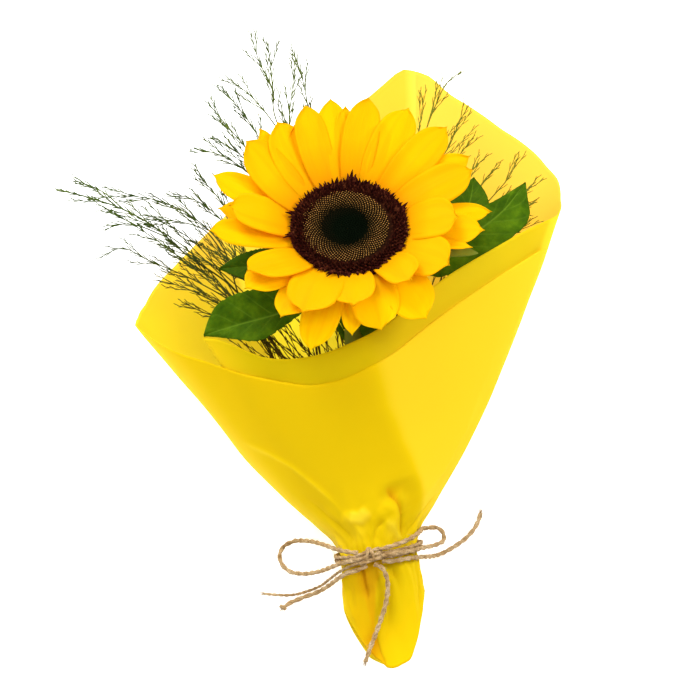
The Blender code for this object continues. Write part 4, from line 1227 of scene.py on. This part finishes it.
stem_shape = spun(CUP, CUP_STEPS)
rng = random.Random(9)
bracts = []
for k in range(BRACTS):
    turn = 2 * pi * (k + rng.uniform(-0.2, 0.2)) / BRACTS
    bracts.append((turn, rng.uniform(*BRACT_LENGTH), BRACT_WIDTH, BRACT_SLOPE, BRACT_LAYER * (k % 2)))
for turn, length, width, slope, shift in bracts + [LONG_BRACT]:
    blade = bmesh.ops.create_grid(stem_shape, x_segments=6, y_segments=10, size=0.5)
    for corner in blade["verts"]:
        u = corner.co.y + 0.5
        v = corner.co.x * 2.0
        half = width * (1.0 - u) ** 0.7 * (0.75 + u * 0.5) + 0.15
        reach = BRACT_ROOT + u * length
        drop = CUP_TOP - BRACT_DROP - u * length * slope + abs(v) * (1.0 - u) + shift
        corner.co = (cos(turn) * reach - sin(turn) * v * half,
                     sin(turn) * reach + cos(turn) * v * half, drop)
    faces = list({face for corner in blade["verts"] for face in corner.link_faces})
    bmesh.ops.solidify(stem_shape, geom=faces, thickness=BRACT_THICK)
bmesh.ops.transform(stem_shape, matrix=HEAD, verts=stem_shape.verts)
add_tubes(stem_shape, [tapered(smooth_way(STEM, 90), STEM_RADIUS, STEM_RADIUS)], 20)
face_outwards(stem_shape)
print("bracts:", len(bracts) + 1)

# %% Material of the stem
stem_material, tree, shader, place = start_material("stem_green", roughness=0.6, specular=0.1)
base = ramp_of(tree, noise_of(tree, place, 60.0),
               ((0.3, (0.09, 0.13, 0.008)), (0.7, (0.18, 0.21, 0.015))))
dress(tree, shader, base, noise_of(tree, place, 700.0), depth=0.0003)
finish_piece("stem_and_bracts", stem_shape, stem_material, ["sunflower_stem"])

# %% [markdown]
# ## Leaves
# A sunflower leaf is a toothed heart with one strong midrib and side veins that curve towards
# the tip. The surface bulges between the veins. The blade is a grid again, its edge is cut into
# teeth by a saw wave, and the veins are both a groove in the shape and a painted line.

# %% The leaves' table
LEAVES = {
    "leaf_left": (((-3, 19, 54), (-18, 17, 57), (-30, 15, 57), (-49, 14, 54), (-67, 13, 50)), 15.5, 0.9,
                  ((3.0, 6, 46), (0, 13, 50), (-4, 18.6, 54))),
    "leaf_left_back": (((-19, 43, 49), (-31, 44, 50), (-43, 46, 49), (-54, 48, 47)), 9.5, 1.0,
                       ((2.4, 2, 41), (-5, 20, 45), (-13, 35, 47), (-20, 43.4, 49))),
    "leaf_right": (((44, 28, 49), (61, 36, 51), (75, 43, 51), (91, 53, 49), (106, 68, 45)), 14.4, 0.75,
                   ((10.9, -7, 41), (20, 6, 45), (33, 19, 47.5), (45, 28.6, 49))),
    "leaf_right_back": (((57, 45, 38), (69, 54, 39), (77, 65, 39), (82, 79, 36)), 14.5, 1.0,
                        ((13.9, 6, 43.5), (28, 20, 41), (42, 33, 38.5), (57, 46.8, 38))),
    "leaf_front": (((16, 8, 53), (16, 1, 56), (17, -7, 58), (19, -16, 58)), 7.5, 1.0,
                   ((10.2, -14, 41.5), (15, -9, 45), (17.4, 0, 50), (16, 8, 53))),
}
LEAF_OUTLINE = (
    (0, 0.16), (0.08, 0.62), (0.22, 0.95), (0.36, 1.0), (0.55, 0.86), (0.75, 0.56), (0.9, 0.26),
    (1, 0.03),
)
BLUNT_OUTLINE = (
    (0, 0.16), (0.08, 0.55), (0.22, 0.86), (0.4, 1.0), (0.6, 1.0), (0.76, 0.94), (0.87, 0.76),
    (0.95, 0.38), (1, 0.03),
)
SLANTED_OUTLINE = (
    (0, 0.16), (0.08, 0.62), (0.22, 0.95), (0.4, 1.0), (0.6, 1.0), (0.78, 0.90), (0.89, 0.45),
    (1, 0.03),
)
HOOKED_OUTLINE = (
    (0, 0.10), (0.15, 0.21), (0.28, 0.36), (0.42, 0.58), (0.58, 0.84), (0.66, 0.78), (0.73, 0.63),
    (0.84, 0.38), (0.93, 0.17), (1, 0.03),
)
FAR_OUTLINES = {"leaf_left": BLUNT_OUTLINE, "leaf_right": SLANTED_OUTLINE}
NEAR_OUTLINES = {"leaf_left": HOOKED_OUTLINE}
LEAF_ACROSS = 40
LEAF_ALONG = 90
LEAF_THICK = 0.4
TEETH = 15
VEINS = 7
VEIN_SWEEP = 0.22
# Painted shade: how far the leaves that lie back or under the flower are darkened, their veins fading
LEAVES_IN_PAINTED_SHADE = {"leaf_left_back": 0.6, "leaf_front": 0.4, "leaf_right_back": 0.35}
STALK_RADIUS = 1.4
STALK_STEP = 3.0

# %% Material of the leaves
leaf_material, tree, shader, place = start_material("leaf_green", roughness=0.6, specular=0.03)
base = ramp_of(tree, noise_of(tree, place, 110.0, detail=6.0, roughness=0.65), (
    (0.30, (0.026, 0.070, 0.0005)), (0.5, (0.050, 0.115, 0.001)), (0.72, (0.095, 0.185, 0.003))))
# Painted shade darkens the leaves that lie back or under the flower
base = mix_of(tree, attribute_of(tree, "deep"), base, (0.016, 0.045, 0.0008))
colour = mix_of(tree, attribute_of(tree, "vein"), base, (0.115, 0.215, 0.012))
dress(tree, shader, colour, noise_of(tree, place, 450.0, detail=6.0), depth=0.0004)
let_light_through(tree, shader, colour, share=0.15)
print("material", leaf_material.name)

# %% Make the leaves
MIDRIB_WIDTH = 0.035
SIDE_VEIN_WIDTH = 0.006
SIDE_VEIN_SHARE = 0.55
TOOTH_DEPTH = 0.13
BULGE = 0.5
FOLD = 0.16
WAVE, WAVES = 0.5, 11.0
VEIN_GROOVE = 0.25


def leaf_veins(u, v):
    """How strongly a vein runs at a place on the blade: the midrib and curved side veins."""
    midrib = exp(-((v / MIDRIB_WIDTH) ** 2))
    phase = (u - VEIN_SWEEP * abs(v) ** 0.8) * VEINS
    gap = abs(phase - round(phase)) / VEINS
    side = exp(-((gap / SIDE_VEIN_WIDTH) ** 2)) * (1.0 - abs(v)) ** 0.4 * SIDE_VEIN_SHARE
    return max(midrib, side)


def make_leaf(name, midrib, half_width, low_side, stalk):
    """A toothed blade with its stalk."""
    line = smooth_way(midrib, LEAF_ALONG + 1)
    deep = LEAVES_IN_PAINTED_SHADE.get(name, 0.0)
    shape = bmesh.new()
    vein_layer, leaf_shade_layer = new_layers(shape, "vein", "deep")
    bmesh.ops.create_grid(shape, x_segments=LEAF_ACROSS, y_segments=LEAF_ALONG, size=0.5)
    for corner in shape.verts:
        row = round((corner.co.y + 0.5) * LEAF_ALONG)
        u = row / LEAF_ALONG
        v = corner.co.x * 2.0
        ahead = line[min(row + 1, LEAF_ALONG)] - line[max(row - 1, 0)]
        side = ahead.cross(UP).normalized()
        saw = (u * TEETH) % 1.0
        tooth = 1.0 - TOOTH_DEPTH * saw * abs(v) ** 6 * (1 - u)
        outline = (FAR_OUTLINES if v > 0 else NEAR_OUTLINES).get(name, LEAF_OUTLINE)
        half = half_width * value_at(u, outline) * tooth * (low_side if v < 0 else 1.0)
        vein = leaf_veins(u, v)
        bulge = BULGE * (1.0 - vein) * sin(pi * abs(v)) * min(1, 6 * u)
        fold = (FOLD * half + WAVE * sin(WAVES * u)) * abs(v) - VEIN_GROOVE * vein
        corner[vein_layer] = vein * (1.0 - deep)
        corner[leaf_shade_layer] = deep
        corner.co = line[row] + side * (v * half) + UP * (fold + bulge)
    face_outwards(shape)
    bmesh.ops.solidify(shape, geom=shape.faces[:], thickness=LEAF_THICK)
    add_tubes(shape, [tapered(even_way(stalk, STALK_STEP), STALK_RADIUS, STALK_RADIUS)], 10)
    face_outwards(shape)
    return finish_piece(name.replace("leaf", "green_leaf"), shape, leaf_material, [name])


for name, numbers in LEAVES.items():
    make_leaf(name, *numbers)

# %% [markdown]
# ## Feathery sprays
# The sprays are thin twigs that branch, with short fine needles which lie close along them. The
# main stems run down through the tie. Each twig gets a few side shoots, and needles along its
# outer two thirds.

# %% The sprays' ways
STEM_START_Y = -113
SPRAYS = {
    "spray_left_low": ((
        (-6.95, STEM_START_Y, 15.6), (-12, -80, 18), (-20, -45, 23), (-30, -10, 28), (-41, 21, 32)), (
        ((-38, 12, 31), (-51, 24, 34), (-63, 29, 36), (-75, 37, 38)),
        ((-41, 21, 32), (-60, 37, 33), (-75, 47, 35), (-86, 52, 35)),
        ((-41, 21, 32), (-47, 31, 32), (-64, 47, 33), (-89, 64, 35), (-100, 72, 35), (-113, 69, 34)),
        ((-41, 21, 32), (-53, 43, 31), (-69, 62, 29), (-83, 74, 29)),
        ((-47, 31, 32), (-57, 47, 34), (-68, 57, 35), (-78, 66, 34)))),
    "spray_left_long": ((
        (-5.7, STEM_START_Y, 11.6), (-10, -80, 12), (-17, -45, 13), (-26, -8, 16), (-39, 30, 21),
        (-50, 46, 28), (-69, 62, 38), (-82, 77, 43), (-96, 88, 46), (-112, 97, 47),
        (-128, 105, 46)), (
        ((-46, 41, 25), (-51, 70, 27), (-73, 92, 34), (-95, 99, 38), (-108, 100, 38)),
        ((-50, 64, 26), (-58, 77, 30), (-72, 83, 33), (-86, 85, 36)),
        ((-76, 71, 41), (-94, 80, 45), (-106, 81, 46)),
        ((-44, 50, 24), (-46, 78, 26), (-58, 93, 29), (-71, 99, 32)),
        ((-42, 70, 23), (-44, 86, 26), (-52, 101, 29), (-58, 110, 32)),
        ((-96, 88, 46), (-106, 100, 47), (-118, 107, 49)))),
    "spray_upper_left": ((
        (-2.4, STEM_START_Y, 9.1), (-4, -80, 8), (-7, -30, 8), (-12, 30, 12), (-16, 75, 17),
        (-22, 100, 22)), (
        ((-20, 90, 20), (-32, 108, 26), (-44, 117, 30), (-56, 121, 33)),
        ((-22, 100, 22), (-34, 117, 28), (-45, 126, 32)),
        ((-22, 100, 22), (-30, 120, 28), (-39, 134, 33), (-45, 144, 36)),
        ((-22, 100, 22), (-22, 122, 30), (-30, 139, 35), (-37, 151, 38)))),
    "spray_top": ((
        (2.4, STEM_START_Y, 9.1), (3, -80, 8), (3, -20, 8), (0, 50, 14), (-4, 95, 20),
        (-8, 118, 24)), (
        ((-8, 118, 24), (-13, 130, 28), (-22, 145, 32), (-33, 158, 33)),
        ((-8, 118, 24), (-12, 136, 30), (-11, 148, 33), (-15, 162, 36), (-17, 178, 38)),
        ((-11, 140, 31), (-10, 154, 30), (-9, 166, 30), (-9, 176, 31)),
        ((-4, 100, 21), (-5, 130, 28), (1, 150, 32), (4, 163, 33)),
        ((-2, 90, 19), (5, 119, 24), (6, 139, 28), (5, 159, 30), (3, 170, 31)))),
    "spray_upper_right": ((
        (5.7, STEM_START_Y, 11.6), (12, -70, 11), (22, -15, 12), (38, 40, 15), (52, 82, 19),
        (59, 104, 22)), (
        ((59, 104, 22), (65, 116, 25), (72, 127, 28), (79, 136, 31), (87, 140, 33)),
        ((65, 116, 25), (70, 126, 29), (74, 136, 31)),
        ((56, 96, 21), (61, 117, 23), (65, 128, 25), (65, 136, 27)),
        ((54, 88, 20), (73, 102, 24), (82, 115, 28), (88, 122, 30)),
        ((50, 78, 19), (72, 92, 23), (88, 106, 27)))),
    "spray_right": ((
        (6.95, STEM_START_Y, 15.6), (16, -75, 16), (30, -30, 17), (48, 15, 19), (62, 42, 22),
        (77, 61, 26)), (
        ((60, 38, 22), (74, 73, 23), (84, 88, 26), (93, 94, 27)),
        ((77, 61, 26), (88, 80, 28), (97, 86, 30)),
        ((77, 61, 26), (90, 69, 31), (101, 78, 35), (107, 87, 37)),
        ((77, 61, 26), (93, 64, 31), (106, 66, 36), (114, 73, 38)),
        ((70, 52, 24), (89, 57, 30), (104, 58, 35), (110, 60, 36)),
        ((62, 42, 22), (84, 46, 30), (98, 46, 36), (107, 51, 38)))),
}
STEMS_WITH_NEEDLES = ("spray_left_long",)

# %% Material of the sprays
spray_material, tree, shader, place = start_material("spray_green", roughness=0.7, specular=0.08)
base = ramp_of(tree, noise_of(tree, place, 120.0),
               ((0.3, (0.026, 0.048, 0.008)), (0.55, (0.062, 0.098, 0.015)), (0.8, (0.15, 0.19, 0.04))))
base = mix_of(tree, attribute_of(tree, "pale"), base, (0.24, 0.24, 0.01))
split = tree.nodes.new("ShaderNodeSeparateXYZ")
link(tree, place, split.inputs["Vector"])
# Towards the tie, below 75 mm along the bunch, the stalks turn woody
woody = new_node(tree, "ShaderNodeMapRange", From_Min=0.075, From_Max=0.0)
link(tree, split.outputs["Y"], woody.inputs["Value"])
dress(tree, shader, mix_of(tree, woody.outputs["Result"], base, (0.085, 0.060, 0.004)))
print("material", spray_material.name)

# %% [markdown]
# ### Needles and shoots
# Each twig carries short needles in turn on its left and right, which lie close along it, and
# side shoots that do the same on a smaller scale. All are thin tapering tubes. Chance gives each
# its lean and its length, from one seeded source, so that every run is the same.

# %% Needles and shoots
SHOOT_RADIUS = 0.27
NEEDLE_RADIUS = 0.27
NEEDLE_LENGTH = (4.2, 7.0)
NEEDLE_GAP = 2.1
NEEDLE_LEAN = (9, 19)
NEEDLE_TILT = 25
TIP_NEEDLE_SHARE = 0.55
NEEDLES_UNTIL_LONG = 5
SHOOT_GAP = 8.5
SHOOT_LENGTH = (8.0, 14.0)
SHOOT_LEAN = (13, 23)
SHOOT_TILT = 30
LOWEST = 1.0
rng = random.Random(21)


def point_on(way, distance):
    """The place and the direction at a distance along a way."""
    for a, b in zip(way, way[1:]):
        length = (b - a).length
        if distance <= length:
            return a + (b - a) * (distance / length), (b - a).normalized()
        distance -= length
    return way[-1], (way[-1] - way[-2]).normalized()


def lean_from(ahead, lean, tilt):
    """A direction that leans level away from ahead by lean degrees, with a little tilt."""
    lean, tilt = radians(lean), radians(tilt)
    level = ahead.cross(UP).normalized()
    aside = level * cos(tilt) + level.cross(ahead) * sin(tilt)
    return (ahead * cos(lean) + aside * sin(lean)).normalized()


def needles_on(way, share, gap=NEEDLE_GAP):
    """Needles in turn on the left and the right of the outer share of a way, close to it."""
    needles = []
    length = way_length(way)
    side = rng.choice((-1, 1))
    for k in range(int(length * share / gap)):
        root, ahead = point_on(way, length - 1.0 - k * gap * rng.uniform(0.9, 1.1))
        side = -side
        tilt = rng.uniform(-NEEDLE_TILT, NEEDLE_TILT)
        axis = lean_from(ahead, side * rng.uniform(*NEEDLE_LEAN), tilt)
        grown = TIP_NEEDLE_SHARE + (1 - TIP_NEEDLE_SHARE) * min(1.0, k / NEEDLES_UNTIL_LONG)
        size = rng.uniform(*NEEDLE_LENGTH) * grown
        tip = root + axis * size * 0.9 + ahead * size * 0.1
        needles.append(([root, root + axis * size * 0.35, root + axis * size * 0.75, tip],
                        [NEEDLE_RADIUS * part for part in (0.6, 0.8, 1.0, 0.4)]))
    return needles


def shoots_on(way, spread):
    """Short side shoots, in turn to the left and the right, each with its own needles."""
    tubes = []
    length = way_length(way)
    side = rng.choice((-1, 1))
    for k in range(int(length * 0.6 / SHOOT_GAP)):
        root, ahead = point_on(way, length * 0.82 - k * SHOOT_GAP)
        side = -side
        axis = lean_from(ahead, side * rng.uniform(*SHOOT_LEAN), rng.uniform(-SHOOT_TILT, SHOOT_TILT))
        size = min(rng.uniform(*SHOOT_LENGTH), length * 0.18 + k * SHOOT_GAP)
        tip = root + axis * size + ahead * size * 0.2
        shoot = smooth_way((root, root + axis * size * 0.5, tip), 5)
        if min(p.z for p in shoot) >= LOWEST:
            tubes.append(tapered(shoot, SHOOT_RADIUS, SHOOT_RADIUS * 0.8))
            tubes += needles_on(shoot, 0.8, NEEDLE_GAP * spread)
    return tubes


# %% [markdown]
# ### Fillers
# A real spray has far more stalks than its main twigs. Low down, fine stalks leave the stem and
# run beside the twigs. Brown ones fan out under the left leaf, and a dense tuft shows behind the
# left petals. All of them are drawn by chance within bounds, from one seed.

# %% Fillers
TWIG_RADIUS = 0.37
FILAMENT_RADIUS = 0.24
FILAMENT_SPREAD = 6.0
FILAMENT_FAN = 20.0
FILAMENT_START = (0.3, 0.5)
FILAMENT_FLOOR, SHORTEST_FILAMENT = 2.0, 8.0
STALKS_UNDER_LEAF = 22
STALKS_FROM = (-9.0, -60.0, 21.0)
STALKS_LEFT, STALKS_WIDTH = -40.0, 42.0
STALK_LEAN = (-2.0, 21.0)
TUFT_FROM = Vector((-34.0, 38.0, 36.0))
TUFT_TIPS = ((-66, 70, 38), (-62, 76, 36), (-56, 78, 36), (-50, 74, 37), (-60, 66, 38), (-46, 66, 40),
             (-68, 62, 38), (-41, 60, 42), (-54, 60, 39))


def stalks_under_leaf():
    """Fine brown stalks that fan out under the left leaf."""
    tubes = []
    for k in range(STALKS_UNDER_LEAF):
        x = STALKS_LEFT + STALKS_WIDTH * k / (STALKS_UNDER_LEAF - 1) + rng.uniform(-2.0, 2.0)
        y = rng.uniform(-4.0, 3.0)
        lean = rng.uniform(*STALK_LEAN)
        way = smooth_way((STALKS_FROM, (x + 0.8 * lean, y - 20.0, 26.0), (x, y, 31.0),
                          (x - 0.5 * lean, y + 9.0, 34.0), (x - lean, y + 19.0, 35.0)), 16)
        tubes.append(tapered(way, SHOOT_RADIUS * 1.3, SHOOT_RADIUS))
        tubes += needles_on(way, 0.4, NEEDLE_GAP * 2.2)
    return tubes


def tuft_behind_petals():
    """A dense tuft of short twigs that shows between the left petals and the small leaf."""
    tubes = []
    for tip in TUFT_TIPS:
        tip = Vector(tip)
        aside = Vector((rng.uniform(-3, 3), rng.uniform(-3, 3), rng.uniform(-1, 1)))
        way = smooth_way((TUFT_FROM + aside * 0.4, (TUFT_FROM + tip) / 2 + aside, tip), 14)
        tubes.append(tapered(way, TWIG_RADIUS, SHOOT_RADIUS))
        tubes += needles_on(way, 0.85, NEEDLE_GAP * 0.8)
    return tubes


def filaments_on(stem_way, twig_ways, count):
    """Fine stalks that leave the stem low down, run beside a twig and carry a few needles."""
    tubes = []
    for _ in range(count):
        twig = rng.choice(twig_ways)
        shift = Vector((rng.uniform(-1, 1), rng.uniform(-1, 1), rng.uniform(-0.5, 0.8)))
        shift *= FILAMENT_SPREAD
        low = stem_way[int(len(stem_way) * rng.uniform(*FILAMENT_START))].copy()
        low.x += rng.uniform(-1, 1) * FILAMENT_FAN
        low.z += rng.uniform(0, 1) * FILAMENT_SPREAD
        middle = twig[0] + shift * 0.8
        last = twig[int((len(twig) - 1) * rng.uniform(0.3, 1.0))] + shift * rng.uniform(0.8, 1.6)
        if min(middle.z, last.z) < FILAMENT_FLOOR or (last - middle).length < SHORTEST_FILAMENT:
            continue
        between = (middle + last) / 2 + Vector((rng.uniform(-2, 2), rng.uniform(-2, 2), 0))
        way = smooth_way((low, middle, between, last), 16)
        tubes.append(tapered(way, FILAMENT_RADIUS * 1.4, FILAMENT_RADIUS * 0.9))
        tubes += needles_on(way, rng.uniform(0.2, 0.5), NEEDLE_GAP * 1.5)
    return tubes


# %% [markdown]
# ### Putting a spray together
# A spray is one mesh, as it is one node of the frame. Each twig starts at the nearest point of
# what is already there, so that nothing floats. The sprays on the right are finer and paler.

# %% Make the sprays
MAIN_RADIUS = 0.50
WAY_STEP, WAY_FEWEST = 2, 6
FILAMENTS = {"spray_left_low": 9, "spray_left_long": 6}
OTHER_FILAMENTS = 4
# radius of the fine parts and gap between needles, as shares, and how pale the spray is
FINENESS = {"spray_left_low": (0.78, 1.15, 0.0), "spray_right": (0.8, 1.35, 0.5),
            "spray_upper_right": (0.8, 1.35, 0.5), "spray_top": (0.95, 1.1, 0.1)}
OTHER_FINENESS = (1.0, 1.0, 0.0)


def make_spray(name, stem, twigs):
    """A thin stem that branches into twigs, with shoots and needles on their outer part."""
    stem_way = even_way(stem, WAY_STEP, WAY_FEWEST)
    lines = [stem_way]
    needled = [stem_way[len(stem_way) // 2:]] if name in STEMS_WITH_NEEDLES else []
    thick = [tapered(stem_way, MAIN_RADIUS, TWIG_RADIUS)]
    for twig in twigs:
        way = even_way(twig, WAY_STEP, WAY_FEWEST)
        way[0] = min((p for line in lines for p in line), key=lambda p: (p - way[0]).length)
        lines.append(way)
        needled.append(way)
        thick.append(tapered(way, TWIG_RADIUS, TWIG_RADIUS * 0.65))
    fine, spread, pale = FINENESS.get(name, OTHER_FINENESS)
    thin = [tube for way in needled
            for tube in needles_on(way, 0.66, NEEDLE_GAP * spread) + shoots_on(way, spread)]
    thin += filaments_on(stem_way, lines[1:], FILAMENTS.get(name, OTHER_FILAMENTS))
    if name == "spray_left_low":
        thin += stalks_under_leaf() + tuft_behind_petals()
    shape = bmesh.new()
    add_tubes(shape, thick, 6)
    add_tubes(shape, [(way, [radius * fine for radius in radii]) for way, radii in thin], 4)
    (pale_layer,) = new_layers(shape, "pale")
    for corner in shape.verts:
        corner[pale_layer] = pale
    return finish_piece(name.replace("spray", "feathery_spray"), shape, spray_material, [name])


for name, (stem, twigs) in SPRAYS.items():
    make_spray(name, stem, twigs)

# %% [markdown]
# ## The pieces made
# The script ends by printing how many pieces it made.

# %% Finish
print("pieces made:", len(made))
